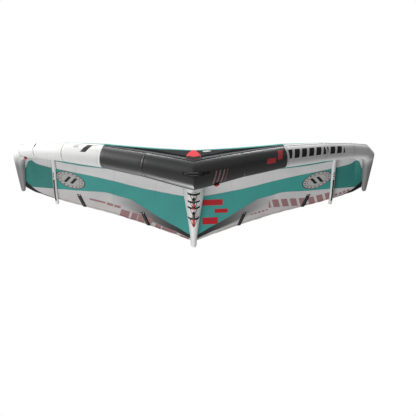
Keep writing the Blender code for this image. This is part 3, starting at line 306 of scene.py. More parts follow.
def trailing_point(station):
    """The trailing edge at a station, on the right half."""
    tip = tube_point(TIP_JOINT - 1 + TIP_REACH_SHARE, TIP_TUBE_ANGLE, CLOTH_SEAT)
    rows = [(place, x * HALF_SPAN, CHORD_REACH - y * TRAILING_SWEEP,
             ROOT_HEIGHT - TRAILING_ROOT_DROP + z * TRAILING_RISE)
            for place, x, y, z in TRAILING_SHARES]
    return Vector(follow(rows + [(CORNER_JOINT, *tip)], station))


def lift_angle(station):
    """Where the cloth leaves the tube, as an angle from its top towards the front."""
    elbow = max(station - ELBOW_JOINT, 0)
    return straight(LIFT_ANGLES, station) * (1 - elbow) + TIP_TUBE_ANGLE * elbow


def cloth_seat(station):
    """Height of the cloth's middle over the tube; it lies looser round the elbow."""
    return CLOTH_SEAT + ELBOW_LIFT * min(max(2 * station - 9, 0), 1)


def canopy_handles(station):
    """The four control points of the cloth's profile at a station."""
    angle = lift_angle(station)
    seat = cloth_seat(station)
    start = tube_point(station, angle, seat)
    end = trailing_point(station)
    reach = (end - start).length
    elbow = max(station - ELBOW_JOINT, 0)
    tangent = tube_point(station, angle - 1.0, seat) - start
    leave = tangent.normalized().lerp((end - start) / reach, elbow)
    drop = math.radians(straight(TRAILING_ANGLES, station))
    arrive = Vector((0, math.cos(drop), -math.sin(drop))).lerp((end - start) / reach, elbow)
    drift = Vector((end.x - start.x, 0, 0)) * (1 - elbow)
    front = straight(FRONT_FULLNESS, station)
    rear = straight(REAR_FULLNESS, station)
    return (start, start + leave * reach * front + drift * front,
            end - arrive * reach * rear - drift * rear, end)


def profile_point(handles, t):
    """A point of the cloth's profile between its control points."""
    a, b, c, d = handles
    return (a * (1 - t) ** 3 + b * 3 * t * (1 - t) ** 2
            + c * 3 * t * t * (1 - t) + d * t ** 3)


def canopy_point(station, share):
    """The middle of the cloth at a station and a share of its profile."""
    return profile_point(canopy_handles(station), share)


def share_before_edge(station, length):
    """Share of the profile that lies a length forward of the trailing edge."""
    c, d = canopy_handles(station)[2:]
    return 1 - length / (3 * (d - c).length)


def canopy_normal(station, share):
    """Upward normal of the cloth."""
    step = 0.01
    aft = canopy_point(station, min(share + step, 1)) - canopy_point(station, max(share - step, 0))
    out = (canopy_point(min(station + step, CORNER_JOINT), share)
           - canopy_point(max(station - step, 0), share))
    normal = out.cross(aft)
    if station < step:
        normal.x = 0
    return normal.normalized()


def sided(points, side):
    """Points of the right half, or the same points on the left half."""
    return points if side > 0 else [Vector((-p.x, p.y, p.z)) for p in points]


def side_name(name, side):
    """Name of the left or right copy of a piece."""
    return f"{name}_{'right' if side > 0 else 'left'}"


def sum_of(operation):
    """A method that joins a value and others in one sum."""
    return lambda value, *others: value.finish.math(operation, value, *others)


class Value:
    """What a node gives; sums with it are nodes too. A mask is 1 where it holds, else 0."""

    __add__ = sum_of("ADD")
    __sub__ = sum_of("SUBTRACT")
    __mul__ = sum_of("MULTIPLY")
    __truediv__ = sum_of("DIVIDE")
    __or__ = sum_of("MAXIMUM")
    __lt__ = sum_of("LESS_THAN")
    __gt__ = sum_of("GREATER_THAN")
    __abs__ = sum_of("ABSOLUTE")

    def __init__(self, finish, socket):
        self.finish = finish
        self.socket = socket

    def within(self, low, high):
        """Mask between two values, with hard edges."""
        return self.finish.math("COMPARE", self, (low + high) / 2, (high - low) / 2)

    def step(self, low, high):
        """Rises from 0 to 1 between two values."""
        made = self.finish.node("ShaderNodeMapRange", self, low, high,
                                interpolation_type="SMOOTHSTEP")
        return Value(self.finish, made.outputs[0])

    def waves(self, pitch):
        """A wave between 0 and 1 that repeats at a pitch."""
        return (self.finish.math("SINE", self * (2 * math.pi / pitch)) + 1.0) * 0.5

    def stripes(self, pitch, share):
        """Mask over a share of each repeat."""
        return self.finish.math("FRACT", self / pitch) < share


class Finish:
    """One procedural material, built node by node on a painted ground."""

    def __init__(self, name, colour, roughness, specular=0.3):
        self.material = bpy.data.materials.new(name)
        self.material.use_nodes = True
        self.tree = self.material.node_tree
        self.shader = self.tree.nodes["Principled BSDF"]
        self.set("Base Color", colour)
        self.set("Roughness", roughness)
        self.set("Specular IOR Level", specular)
        self.material.diffuse_color = (*colour, 1)
        self.ground = colour

    def feed(self, socket, value):
        """Join a socket to a node's output, or set it."""
        value = value.socket if isinstance(value, Value) else value
        if isinstance(value, bpy.types.NodeSocket):
            self.tree.links.new(value, socket)
        else:
            socket.default_value = (*value, 1) if socket.type == "RGBA" else value

    def set(self, name, value):
        """Feed one of the shader's own sockets."""
        self.feed(self.shader.inputs[name], value)

    def node(self, kind, *values, **settings):
        """A node with its settings and its first inputs."""
        made = self.tree.nodes.new(kind)
        for key, setting in settings.items():
            setattr(made, key, setting)
        for socket, value in zip(made.inputs, values):
            self.feed(socket, value)
        return made

    def math(self, operation, *values, clamp=False):
        """The result of one sum."""
        made = self.node("ShaderNodeMath", *values, operation=operation, use_clamp=clamp)
        return Value(self, made.outputs[0])

    def mix(self, factor, a, b):
        """Colour a where the factor is 0 and b where it is 1."""
        made = self.node("ShaderNodeMix", factor, data_type="RGBA")
        self.feed(made.inputs[6], a)
        self.feed(made.inputs[7], b)
        return Value(self, made.outputs[2])

    def paint(self, mask, colour):
        """Lay a colour over the ground where a mask is."""
        self.ground = self.mix(mask, self.ground, colour)

    def uv(self, name):
        """Both coordinates of a named map."""
        place = self.node("ShaderNodeUVMap", uv_map=name).outputs[0]
        split = self.node("ShaderNodeSeparateXYZ", place)
        return Value(self, split.outputs[0]), Value(self, split.outputs[1])

    def noise(self, scale, detail=2.0, stretch=(1, 1, 1)):
        """Soft random variation over the object's own place."""
        place = self.node("ShaderNodeTexCoord").outputs["Object"]
        mapping = self.node("ShaderNodeMapping", place)
        mapping.inputs["Scale"].default_value = stretch
        made = self.node("ShaderNodeTexNoise", mapping.outputs[0])
        made.inputs["Scale"].default_value = scale
        made.inputs["Detail"].default_value = detail
        return Value(self, made.outputs[0])

    def done(self, relief, strength, distance):
        """Set the painted ground and the relief, and give the material."""
        self.set("Base Color", self.ground)
        made = self.node("ShaderNodeBump")
        for name, value in (("Strength", strength), ("Distance", distance), ("Height", relief)):
            self.feed(made.inputs[name], value)
        self.set("Normal", made.outputs[0])
        return self.material


def union(masks):
    """Mask where any of some masks holds."""
    found = masks[0]
    for mask in masks[1:]:
        found = found | mask
    return found


def shade(colour, factor, offset=0.0, most=2.0):
    """A lighter or darker colour."""
    return tuple(min(most, c * factor + offset) for c in colour)


def badge(f, across, before):
    """A generic round mark: a pale disc with a dark rim, dots and two slanted bars."""
    off_x = (across - 1.384) / 0.163
    off_y = (before - 0.458) / 0.153
    radius = f.math("SQRT", off_x * off_x + off_y * off_y)
    dots = f.math("ARCTAN2", off_y, off_x).stripes(math.pi / 9, 0.42)
    lean = off_x + off_y * 0.45
    bars = (lean.within(-0.32, -0.12) | lean.within(0.1, 0.3)) * off_y.within(-0.4, 0.4)
    f.paint(radius.within(-0.5, 1.0), (0.5, 0.49, 0.48))
    f.paint(radius.within(0.93, 1.0), (0.07, 0.03, 0.035))
    f.paint(radius.within(0.75, 0.87) * dots, (0.1, 0.08, 0.08))
    f.paint(radius.within(0.62, 0.66), (0.22, 0.2, 0.2))
    f.paint(bars, (0.012, 0.012, 0.012))


def canopy_marks(f, x, across, before, zone):
    """Plain slanted bars along the trailing edge, three red bars and a pale oval."""
    right = x > 0.0
    slant = across + before * 0.2
    marks = union([slant.within(a, b) * before.within(low, high)
                   for a, b, low, high in LEFT_MARKS])
    base = (across * -0.34 + 0.449) | 0.0
    tall = (before - base).within(0.0, 0.15) * across.within(0.86, 1.55) * slant.stripes(0.095, 0.7)
    thin = (across.within(0.66, 0.85) * before.within(0.112, 0.14)
            | across.within(1.6, 1.78) * before.within(0.03, 0.08)) * slant.stripes(0.045, 0.7)
    marks = (x < 0.0) * marks | right * (tall | thin)
    f.paint(marks * (zone > 6.3), DUSKY)
    rise = before + across * 0.5
    bars = union([rise.within(low, high) * across.within(a, b) for low, high, a, b in RED_BARS])
    f.paint(right * bars * zone.within(5.0, 6.0), RED)
    oval_x = (x - 0.135) / 0.045
    oval_y = (zone - 2.7) / 0.2
    f.paint(oval_x * oval_x + oval_y * oval_y < 1.0, (0.55, 0.54, 0.54))


def canopy_finish():
    """Printed ripstop: colour zones across the wing, generic marks, seams and fine weave."""
    f = Finish("canopy_ripstop", TEAL, 0.6)
    column, zone = f.uv("zones")
    x, before = f.uv("plan")
    across = abs(x)
    f.ground = f.mix(column < COLOUR_JOINT, WHITE, BLACK)
    teal = f.mix(column.step(MINI_STATION - 0.004, MINI_STATION + 0.004), TEAL, TEAL_TIP)
    fade = f.math("DIVIDE", across - 0.05, 0.9, clamp=True)
    wedge = f.mix(f.math("POWER", fade, 1.9), BLACK, LIGHT_GREY)
    for border, cloth in ((2, BLACK), (3, teal), (4, BAND_WHITE), (5, teal), (6, wedge)):
        f.paint(zone > border, cloth)
    soft = fade * 0.5 + 0.02
    f.paint(zone.step(soft * -1.0 + 7.0, soft + 7.0), PALE)
    canopy_marks(f, x, across, before, zone)
    badge(f, across, before)
    lines = union([zone.within(0.96, 1.04)]
                  + [zone.within(border - 0.03, border + 0.03) for border in range(2, 7)]
                  + [f.math("FRACT", column + 0.5).within(0.494, 0.506),
                     column.within(MINI_STATION - 0.01, MINI_STATION + 0.01)])
    f.paint(lines * (across + before).stripes(0.008, 0.6) * 0.25, (0.1, 0.11, 0.11))
    f.paint(f.noise(3.0, 3.0).step(0.25, 0.75) * 0.12, (0.02, 0.05, 0.05))
    coated = zone < 1.0
    strip = zone.within(1.0, 2.0)
    f.set("Roughness", coated * -0.1 + strip * 0.25 + 0.65)
    f.set("Specular IOR Level", coated * 0.3 + strip * -0.07 + 0.1)
    grid = x.stripes(0.006, 0.12) | before.stripes(0.006, 0.12)
    creases = f.noise(9.0, 4.0, (1.0, 0.35, 1.0))
    return f.done(grid * 0.08 + creases * 1.3 + lines * 0.5, 0.45, 0.003)


def tube_marks(f, kind, run, around):
    """Plain printed bars on the leading edge."""
    slash = run + around * 0.25
    if kind == "black":
        f.paint(slash.within(0.79, 0.89) * around.within(0.036, 0.09)
                | slash.within(0.91, 0.965) * around.within(-0.035, 0.061), (0.7, 0.03, 0.038))
        f.paint(slash.within(0.235, 0.365) * around.within(0.06, 0.21) * slash.stripes(0.04, 0.35),
                (0.42, 0.2, 0.21))
    elif kind == "white_right":
        f.paint(run.within(1.035, 1.71) * (around > -0.03) * (around < run * -0.035 + 0.105)
                * slash.stripes(0.085, 0.68), (0.018, 0.018, 0.019))
    else:
        f.paint((run + around * -0.6).within(1.18, 1.245) * around.within(-0.145, 0.012)
                | run.within(1.815, 1.845) * around.within(-0.085, -0.02), (0.022, 0.022, 0.023))
        f.paint(run.within(1.285, 1.345) * around.within(-0.132, -0.035)
                * around.stripes(0.024, 0.55), (0.28, 0.28, 0.28))


def tube_finish(name, kind):
    """Coated sailcloth of a tube: printed bars, faint weave and soft creases; the tip tubes carry
    grey cloth with painted shade.
    """
    black = kind == "black"
    f = Finish(name, BLACK if black else WHITE, 0.37 if black else 0.5, 1.0 if black else 0.3)
    run, around = f.uv("tube")
    if black:
        f.paint(f.noise(2.5, 3.0).step(0.3, 0.8) * 0.5, (0.02, 0.02, 0.022))
        f.set("Roughness", run.within(-1.03, -0.52) * 0.14 + 0.37)
    else:
        f.paint(f.noise(5.0, 4.0).step(0.45, 0.85) * 0.1, (0.45, 0.45, 0.44))
    if kind == "tip":
        # Painted shade, partly grey cloth: the tip tube greys towards its aft end, and its bottom
        # and inboard side, which face away from the lamps, go fully grey
        aft = run.step(-0.1, 0.22)
        f.paint(aft * 0.55, TIP_GREY_AND_SHADE)
        f.paint(aft * (around + run * 0.1).step(-0.06, 0.07), TIP_GREY_AND_SHADE)
    else:
        tube_marks(f, kind, run, around)
    weave = run.waves(0.0035) * around.waves(0.0035)
    folds = f.noise(5.0, 3.0, (0.6, 1.0, 1.8)) * 1.2
    return f.done(weave * 0.05 + f.noise(11.0, 5.0) * 0.5 + folds, 0.35, 0.003)


def strut_finish(name, striped):
    """White cloth of a strut with a lengthwise seam; the mini struts carry plain bars."""
    f = Finish(name, WHITE, 0.5, 0.3)
    run, around = f.uv("tube")
    f.paint(f.noise(6.0, 4.0).step(0.45, 0.85) * 0.12, (0.5, 0.49, 0.47))
    line = abs(around).within(-0.001, 0.0006 if striped else 0.0012)
    if striped:
        dashes = around.within(-0.013, 0.001) * run.within(0.6, 0.71) * run.stripes(0.037, 0.7)
        f.paint(around.within(-0.016, 0.004) * run.within(0.74, 1.15) | dashes,
                (0.014, 0.014, 0.014))
        f.paint(around.within(-0.012, 0.0) * run.within(0.716, 0.728), (0.5, 0.12, 0.14))
    f.paint(line * 0.3, (0.35, 0.35, 0.35))
    weave = run.waves(0.0035) * around.waves(0.0035)
    return f.done(weave * 0.05 + f.noise(14.0, 5.0) * 0.9 - line, 0.35, 0.003)


def tape_finish(name, colour, roughness=0.6, specular=0.2):
    """Sewn tape: a row of zigzag stitching along each edge of a woven ground."""
    f = Finish(name, colour, roughness, specular)
    run, across = f.uv("tube")
    thread = (abs(across) - 0.005 - f.math("PINGPONG", run, 0.004)).within(-0.001, 0.001)
    f.paint(thread * 0.6, shade(colour, 1.6, 0.05, 1.0))
    return f.done(thread + f.noise(300.0, 1.0), 0.4, 0.0008)


def webbing_finish(name, colour):
    """Woven webbing with a chevron weave."""
    f = Finish(name, colour, 0.72, 0.25)
    run, across = f.uv("tube")
    weave = (run + abs(across) * 0.9).waves(0.003)
    f.paint(weave * 0.5, shade(colour, 2.2, 0.01))
    return f.done(weave, 0.6, 0.0006)


def foam_finish(name, colour):
    """Moulded foam of a grip, with fine pores."""
    f = Finish(name, colour, 0.58, 0.35)
    pores = f.noise(420.0)
    f.paint(f.noise(30.0, 3.0).step(0.4, 0.8) * 0.25, shade(colour, 1.4, 0.008))
    f.paint(pores.step(0.45, 0.7) * 0.3, shade(colour, 0.55))
    return f.done(pores, 0.4, 0.0005)


def plastic_finish(name, colour, roughness=0.38):
    """Moulded plastic with a faint grain."""
    f = Finish(name, colour, roughness, 0.45)
    grain = f.noise(600.0)
    f.paint(grain.step(0.4, 0.8) * 0.2, shade(colour, 1.5, 0.004))
    return f.done(grain, 0.15, 0.0004)


def film_finish(name, colour):
    """Thin film of a bladder, slightly cloudy."""
    f = Finish(name, colour, 0.3, 0.45)
    cloud = f.noise(14.0, 4.0)
    f.paint(cloud.step(0.3, 0.8) * 0.3, (0.85, 0.86, 0.86))
    return f.done(cloud, 0.3, 0.002)


def patch_finish(name, colour, roughness=0.6, start=0.0):
    """Sewn patch, black before its start, with a stitched line near its edge."""
    f = Finish(name, colour, roughness, 0.15)
    u, v = f.uv("patch")
    line = (abs(u - 0.5) | abs(v - 0.5)).within(0.42, 0.445)
    cloud = f.noise(40.0, 3.0)
    f.paint(cloud * 0.25, shade(colour, 0.7))
    f.paint(u < start, BLACK)
    f.paint(line * (u + v).stripes(0.035, 0.6) * 0.5, shade(colour, 1.5, 0.06, 1.0))
    return f.done(cloud - line, 0.35, 0.0008)


def grid_mesh(name, rows, maps, material, wrap, low_rows, cap):
    """A skin over rows of points, or a closed sheet when the rows of its other side are given.

    maps holds, for each named map, the rows of its coordinates. A wrapped skin has one more
    coordinate than points in each row. A cap closes the last row.
    """
    count = len(rows[0])
    last = len(rows) - 1
    second = len(rows) * count
    faces = []
    corners = []
    for first in [0, second] if low_rows else [0]:
        for i in range(last):
            for j in range(count if wrap else count - 1):
                n = (j + 1) % count
                around = [(i, j, j), (i, n, j + 1), (i + 1, n, j + 1), (i + 1, j, j)]
                if first:
                    around.reverse()
                faces.append([first + a * count + b for a, b, c in around])
                corners.append([(a, c) for a, b, c in around])
    if low_rows:
        rim = [(0, j) for j in range(count)] + [(i, count - 1) for i in range(1, last + 1)]
        rim += [(last, j) for j in range(count - 2, -1, -1)]
        rim += [(i, 0) for i in range(last - 1, 0, -1)]
        for (a, b), (c, d) in zip(rim, rim[1:] + rim[:1]):
            near, far = a * count + b, c * count + d
            faces.append([near, second + near, second + far, far])
            corners.append([(a, b), (a, b), (c, d), (c, d)])
    if cap:
        faces.append([last * count + k for k in range(count)])
        corners.append([(last, k) for k in range(count)])
    mesh = bpy.data.meshes.new(name)
    mesh.from_pydata([tuple(p + FRAME_SHIFT) for row in rows + (low_rows or []) for p in row],
                     [], faces)
    for title, table in maps.items():
        flat = [table[i][j] for face in corners for i, j in face]
        mesh.uv_layers.new(name=title).data.foreach_set("uv", np.array(flat).ravel())
    mesh.shade_smooth()
    mesh.materials.append(material)
    made = bpy.data.objects.new(name, mesh)
    bpy.context.scene.collection.objects.link(made)
    return made


def piece(name, rows, maps, finish, slot, *nodes, body="wing", wrap=True, low_rows=None, cap=False,
          fill=False, weld=False, wall=0.0):
    """A piece with outward faces that rides its body and stands for its nodes; its slot is not used.

    Its open ends may be filled, its seam welded, or its skin given a wall inward.
    """
    maps = maps if isinstance(maps, dict) else {"tube": maps}
    made = grid_mesh(name, rows, maps, FINISHES[finish], wrap, low_rows, cap)
    shape = bmesh.new()
    shape.from_mesh(made.data)
    if weld:
        bmesh.ops.remove_doubles(shape, verts=shape.verts, dist=1e-6)
    if fill:
        bmesh.ops.holes_fill(shape, edges=[e for e in shape.edges if e.is_boundary], sides=0)
    bmesh.ops.recalc_face_normals(shape, faces=shape.faces)
    shape.to_mesh(made.data)
    shape.free()
    if nodes:
        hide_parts(*nodes)
    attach(made, body)
    if wall:
        modifier = made.modifiers.new("wall", "SOLIDIFY")
        modifier.thickness = wall
        modifier.offset = -1
    return made


def hash_wave(place, seed):
    """A smooth, repeatable wobble between -1 and 1."""
    return (math.sin(place * 1.7 + seed * 2.3) + math.sin(place * 2.9 + seed * 4.1)
            + math.sin(place * 5.3 + seed * 1.3)) / 3


def ring_ripple(angle, number):
    """Folds round a tube that close on themselves, between -1 and 1."""
    turn = math.radians(angle)
    return (math.sin(7 * turn + number * 2.3) + math.sin(11 * turn + number * 4.1)
            + 0.8 * math.sin(17 * turn + number * 1.3)) / 2.8


def pucker(station, angle):
    """How far the tube's cloth dips at its seams and bulges between them."""
    first = int(station)
    share = station - first
    distance = min(share, 1 - share) * PANELS[first]
    rise = math.sin(math.pi * share)
    dip = -0.002 * math.exp(-(distance / 0.012) ** 2)
    ripple = 0.0012 * math.exp(-distance / 0.06) * ring_ripple(angle, int(station + 0.5) + 1)
    ripple *= min(1.0, distance / 0.01)
    soft = 0.0007 * math.sin(tube_run(station) * 17.0) * ring_ripple(angle, 9) * rise
    return 0.0016 * rise + dip + ripple + soft


def canopy_wrinkle(station, share):
    """Height of the tube's puckers, flutter at the trailing edge and soft creases."""
    run = tube_run(min(station, 6.0))
    near = max(0.0, 1 - share / 0.04)
    lift = pucker(min(station, PUCKER_END), lift_angle(station)) * near if near else 0.0
    crease = 0.0016 * math.exp(-share / 0.06) * min(share / 0.02, 1.0) * hash_wave(run * 21.0, 1.0)
    edge = max(0.0, (share - 0.88) / 0.12)
    calm = min(1.0, station / 0.3) * min(1.0, max(6.0 - station, 0) / 0.5)
    calm *= min(1.0, abs(station - MINI_STATION) / 0.25)
    for place in BATTEN_STATIONS:
        calm *= min(1.0, 0.1 + abs(station - place) / 0.3)
    flutter = 0.004 * edge ** 2 * hash_wave(run * 9.0, 2.0)
    long = 0.0018 * hash_wave(run * 6.0 + share * 5.0, 3.0) * math.sin(math.pi * share)
    seam = -0.001 * math.exp(-((station - MINI_STATION) / 0.03) ** 2) * min(1, share * 5)
    return lift + crease + (flutter + long) * calm + seam


def cloth_place(station, share):
    """A point in the middle of the cloth with its wrinkles, and its upward normal."""
    normal = canopy_normal(station, share)
    return canopy_point(station, share) + normal * canopy_wrinkle(station, share), normal


def canopy_column(station):
    """Points, heights of wrinkles, zones and coordinates of one column of the cloth."""
    handles = canopy_handles(station)
    lift = lift_angle(station)
    tables = (CLOSURE_END, FRONT_BLACK_END, FRONT_TEAL_END, WHITE_END, TEAL_END, WEDGE_END)
    borders = [0.0] + [steady(table, station) for table in tables] + [1.0]
    if station > MINI_STATION:
        borders[3] *= 0.8
    for number in range(1, len(borders)):
        borders[number] = max(borders[number], borders[number - 1] + 0.001)
    points = []
    heights = []
    zones = []
    for k in range(ZONE_ROWS[0]):
        over = LAP_ANGLE * (1 - k / ZONE_ROWS[0])
        points.append(tube_point(station, lift + over, cloth_seat(station) + 0.0004))
        heights.append([pucker(min(station, PUCKER_END), lift + over)])
        zones.append((station, k / ZONE_ROWS[0]))
    for number, rows in enumerate(ZONE_ROWS[1:], 1):
        near, far = borders[number - 1], borders[number]
        for k in range(rows + (number == len(ZONE_ROWS) - 1)):
            share = near + (far - near) * k / rows
            points.append(profile_point(handles, share))
            heights.append([canopy_wrinkle(station, share)])
            zones.append((station, number + k / rows))
    lengths = runs_along(points)
    return points, heights, zones, [(p.x, lengths[-1] - run) for p, run in zip(points, lengths)]


def make_canopy():
    """One continuous sheet of cloth from tip tube to tip tube, and its area."""
    stations = sorted({round(6.0 * k / 120, 5) for k in range(121)} | {MINI_STATION})
    parts = zip(*[canopy_column(station) for station in stations])
    signs = ((-1, 1, 1), (1,), (1, 1), (-1, 1))
    both = []
    for part, sign in zip(parts, signs):
        right = np.swapaxes(np.array(part, dtype=float), 0, 1)
        both.append(np.concatenate((right[:, :0:-1] * sign, right), axis=1))
    points, heights, zones, plans = both
    normals = np.cross(np.gradient(points, axis=1), np.gradient(points, axis=0))
    normals /= np.linalg.norm(normals, axis=2)[:, :, None]
    normals *= 1 if normals[:, :, 2].sum() > 0 else -1
    top, low = [points + normals * (heights + half) for half in (HALF_CLOTH, -HALF_CLOTH)]
    rows, low_rows = [[[Vector(p) for p in row] for row in sheet] for sheet in (top, low)]
    made = piece("canopy", rows, {"zones": zones.tolist(), "plan": plans.tolist()}, "canopy",
                 "teal_ripstop", "canopy_main_left", "canopy_main_right", "canopy_tip_left",
                 "canopy_tip_right", wrap=False, low_rows=low_rows)
    down = top[1:] - top[:-1]
    out = top[:, 1:] - top[:, :-1]
    area = sum(np.linalg.norm(np.cross(a, b), axis=2).sum()
               for a, b in ((down[:, :-1], out[:-1]), (down[:, 1:], out[1:]))) / 2
    return made, float(area)


def panel_stations(first, last, steps=13):
    """Stations along straight panels, closer together near their seams, just short of the ends."""
    found = [joint + 0.5 - 0.5 * math.cos(math.pi * k / steps)
             for joint in range(first, last) for k in range(steps)]
    if first:
        found[0] += END_STEP
    return found + [last - END_STEP]


def tube_rows(stations, side, way=1, base=0.0, sides=TUBE_SIDES, gap=None):
    """Rings and coordinates of a part of the leading edge, puckered or a gap inside it."""
    angles = spread(0.0, 360.0, sides)
    rings = [sided([tube_point(s, a, -gap if gap else pucker(s, a)) for a in angles[:-1]], side)
             for s in stations]
    maps = [[(way * tube_run(s) - base, tube_radius(s) * math.radians(a - 90)) for a in angles]
            for s in stations]
    return rings, maps


def dome(centre, along, radius, sides, steps, way=1):
    """Rings of a round end, in order away from the tube."""
    turns = [math.radians(90) * step / (steps + 0.15) for step in range(1, steps + 1)]
    return [ring(centre + along * radius * math.sin(turn) * way, along, radius * math.cos(turn),
                 sides) for turn in turns]


def blank_map(rings):
    """Coordinates of a piece whose finish needs none."""
    return [[(0.0, 0.0)] * (len(rings[0]) + 1)] * len(rings)


def make_leading_edge():
    """Casings of the leading edge and of the tip tubes, seam tapes and the long bladder."""
    stations = panel_stations(0, COLOUR_JOINT)
    right, right_map = tube_rows(stations, 1)
    left, left_map = tube_rows(stations[:0:-1], -1, -1)
    piece("leading_edge_casing_center", left + right, left_map + right_map, "le_black",
          "black_dacron", "leading_edge_center", wall=CASING_WALL)
    for side in (-1, 1):
        rings, maps = tube_rows(panel_stations(COLOUR_JOINT, ELBOW_JOINT), side)
        piece(side_name("leading_edge_casing", side), rings, maps, side_name("le_white", side),
              "white_dacron", side_name("leading_edge", side), wall=CASING_WALL)
        rings, maps = tube_rows(panel_stations(ELBOW_JOINT, TIP_JOINT, 14), side,
                                base=tube_run(CORNER_JOINT))
        end = dome(CENTRES[TIP_JOINT], DIRECTIONS[-1], TIP_END_RADIUS, TUBE_SIDES, 7)
        piece(side_name("tip_tube_casing", side), rings + [sided(row, side) for row in end],
              maps + [maps[-1]] * len(end), "le_tip", "grey_dacron", side_name("tip_tube", side),
              cap=True, wall=CASING_WALL)
        for joint in range(1, TIP_JOINT):
            make_seam_tape(joint, side)
    last = TIP_JOINT - 1 + TIP_REACH_SHARE
    right = tube_rows([*range(TIP_JOINT), last], 1, sides=BLADDER_SIDES, gap=BLADDER_GAP)[0]
    right += dome(CENTRES[-2].lerp(CENTRES[-1], TIP_REACH_SHARE), DIRECTIONS[-1],
                  tube_radius(last) - BLADDER_GAP, BLADDER_SIDES, 4)
    rings = [sided(row, -1) for row in right[:0:-1]] + right
    piece("leading_edge_bladder_film", rings, blank_map(rings), "film", "bladder",
          "leading_edge_bladder", fill=True)


def make_seam_tape(joint, side):
    """Narrow tape over the seam between two panels of the leading edge."""
    half = 0.011 if joint < ELBOW_JOINT else 0.008
    angles = spread(0.0, 360.0, TUBE_SIDES)
    rings = []
    maps = []
    for share, lift in SEAM_TAPE_SECTION:
        station = joint + half * share / PANELS[joint if share >= 0 else joint - 1]
        rings.append(sided([tube_point(station, angle, lift + pucker(station, angle))
                            for angle in angles[:-1]], side))
        maps.append([(tube_radius(station) * math.radians(angle), half * share)
                     for angle in angles])
    colour = "black" if joint < COLOUR_JOINT else "white"
    piece(side_name(f"seam_tape_{joint}", side), rings, maps, f"tape_{colour}",
          f"{colour}_dacron", wall=TAPE_WALL)


def strut_line(station, start_share, size, taper, overhang, steps):
    """Centres and radii of a strut under the cloth, and its stretch past the edge."""
    centres = []
    radii = []
    for share in spread(start_share, 1.0, steps):
        top = canopy_point(station, share)
        radius = size * straight(taper, top.y / CHORD_REACH)
        centres.append(top - canopy_normal(station, share) * (CLOTH_SEAT + radius))
        radii.append(radius)
    radii = list(np.convolve([radii[0]] * 2 + radii + [radii[-1]] * 2, [0.2] * 5, "valid"))
    last = (centres[-1] - centres[-2]).normalized()
    return centres + [centres[-1] + last * overhang], radii + [radii[-1]]


def tube_clearance(point):
    """Distance of a point from the leading edge's cloth; below zero it is inside."""
    best = 9.0
    for a, b, near, far in zip(CENTRES, CENTRES[1:], RADII, RADII[1:]):
        way = b - a
        t = min(max((point - a).dot(way) / way.length_squared, 0), 1)
        best = min(best, (point - a - way * t).length - near * (1 - t) - far * t)
    return best


def saddle(rings, settled):
    """Start each line of a strut where it leaves the leading edge, and spread its rows."""
    gap = 0.0008
    fitted = [list(row) for row in rings]
    for k in range(len(rings[0])):
        line = [rings[j][k] for j in range(settled + 1)]
        start = settled
        while start > 0 and tube_clearance(line[start - 1]) > gap:
            start -= 1
        first = float(start)
        if start:
            low, high = tube_clearance(line[start - 1]), tube_clearance(line[start])
            first = start - 1 + (gap - low) / (high - low)
        for j in range(settled):
            place = first + (settled - first) * j / settled
            i = min(int(place), settled - 1)
            fitted[j][k] = line[i].lerp(line[i + 1], place - i)
    return fitted


def bent_tube(centres, radii, sides, dips=None):
    """Rings of a bent tube, their coordinates along and round it, and its directions."""
    ways, planes = joint_planes(centres)
    turns = turns_of(sides)
    rings = []
    maps = []
    for centre, radius, plane, run in zip(centres, radii, planes, runs_along(centres)):
        rings.append([ring_point(centre, plane, plane, radius + (dips(run, t) if dips else 0.0), t)
                      for t in turns[:-1]])
        maps.append([(run, radius * (t - math.pi)) for t in turns])
    return rings, maps, ways


def strut_dips(run, angle):
    """Soft creases of the centre strut's cloth."""
    belly = 0.5 - 0.5 * math.cos(angle)
    degrees = math.degrees(angle)
    kink = 0.001 * math.exp(-((run - 1.05) / 0.1) ** 2) * ring_ripple(degrees, 1)
    root = 0.0018 * math.exp(-max(run - 0.1, 0) / 0.1) * ring_ripple(degrees, 2)
    return (kink + root + 0.0006 * hash_wave(run * 9.0 + math.sin(angle), 3.0)) * belly


def make_strut(title, tail, line, side, sides, settled, first, dips=None):
    """Casing of a strut, cut to the leading edge and round at its tail, and its bladder.

    The rows up to the settled one are spread anew; the bladder starts at the row named first.
    """
    centres, radii = line
    rings, maps, ways = bent_tube(centres, radii, sides, dips)
    steps = 8
    rings = saddle(rings, settled) + dome(centres[-1], ways[-1], radii[-1], sides, steps)
    maps += [[(u + radii[-1] * k / steps, v) for u, v in maps[-1]] for k in range(1, steps + 1)]
    piece(f"{title}_casing{tail}", [sided(row, side) for row in rings], maps, title,
          "white_dacron", title + tail, cap=True, wall=CASING_WALL)
    centres, radii = centres[first:-1:2], [r - STRUT_BLADDER_GAP for r in radii[first:-1:2]]
    sides = 24
    rings, maps, ways = bent_tube(centres, radii, sides)
    rings = (dome(centres[0], ways[0], radii[0], sides, 4, -1)[::-1] + rings
             + dome(centres[-1], ways[-1], radii[-1], sides, 4))
    piece(f"{title}_bladder_film{tail}", [sided(row, side) for row in rings], blank_map(rings),
          "film", "bladder", f"{title}_bladder{tail}", fill=True)


def make_struts():
    """Centre strut and mini struts with their bladders; returns the centre strut's line."""
    line = strut_line(0.0, 0.02, STRUT_RADIUS, STRUT_TAPER, STRUT_OVERHANG, steps=80)
    make_strut("center_strut", "", line, 1, sides=96, settled=14, first=18, dips=strut_dips)
    mini = strut_line(MINI_STATION, 0.04, MINI_STRUT_RADIUS, MINI_TAPER, MINI_STRUT_OVERHANG,
                      steps=60)
    for side in (-1, 1):
        make_strut("mini_strut", side_name("", side), mini, side, sides=40, settled=10, first=9)
    return line


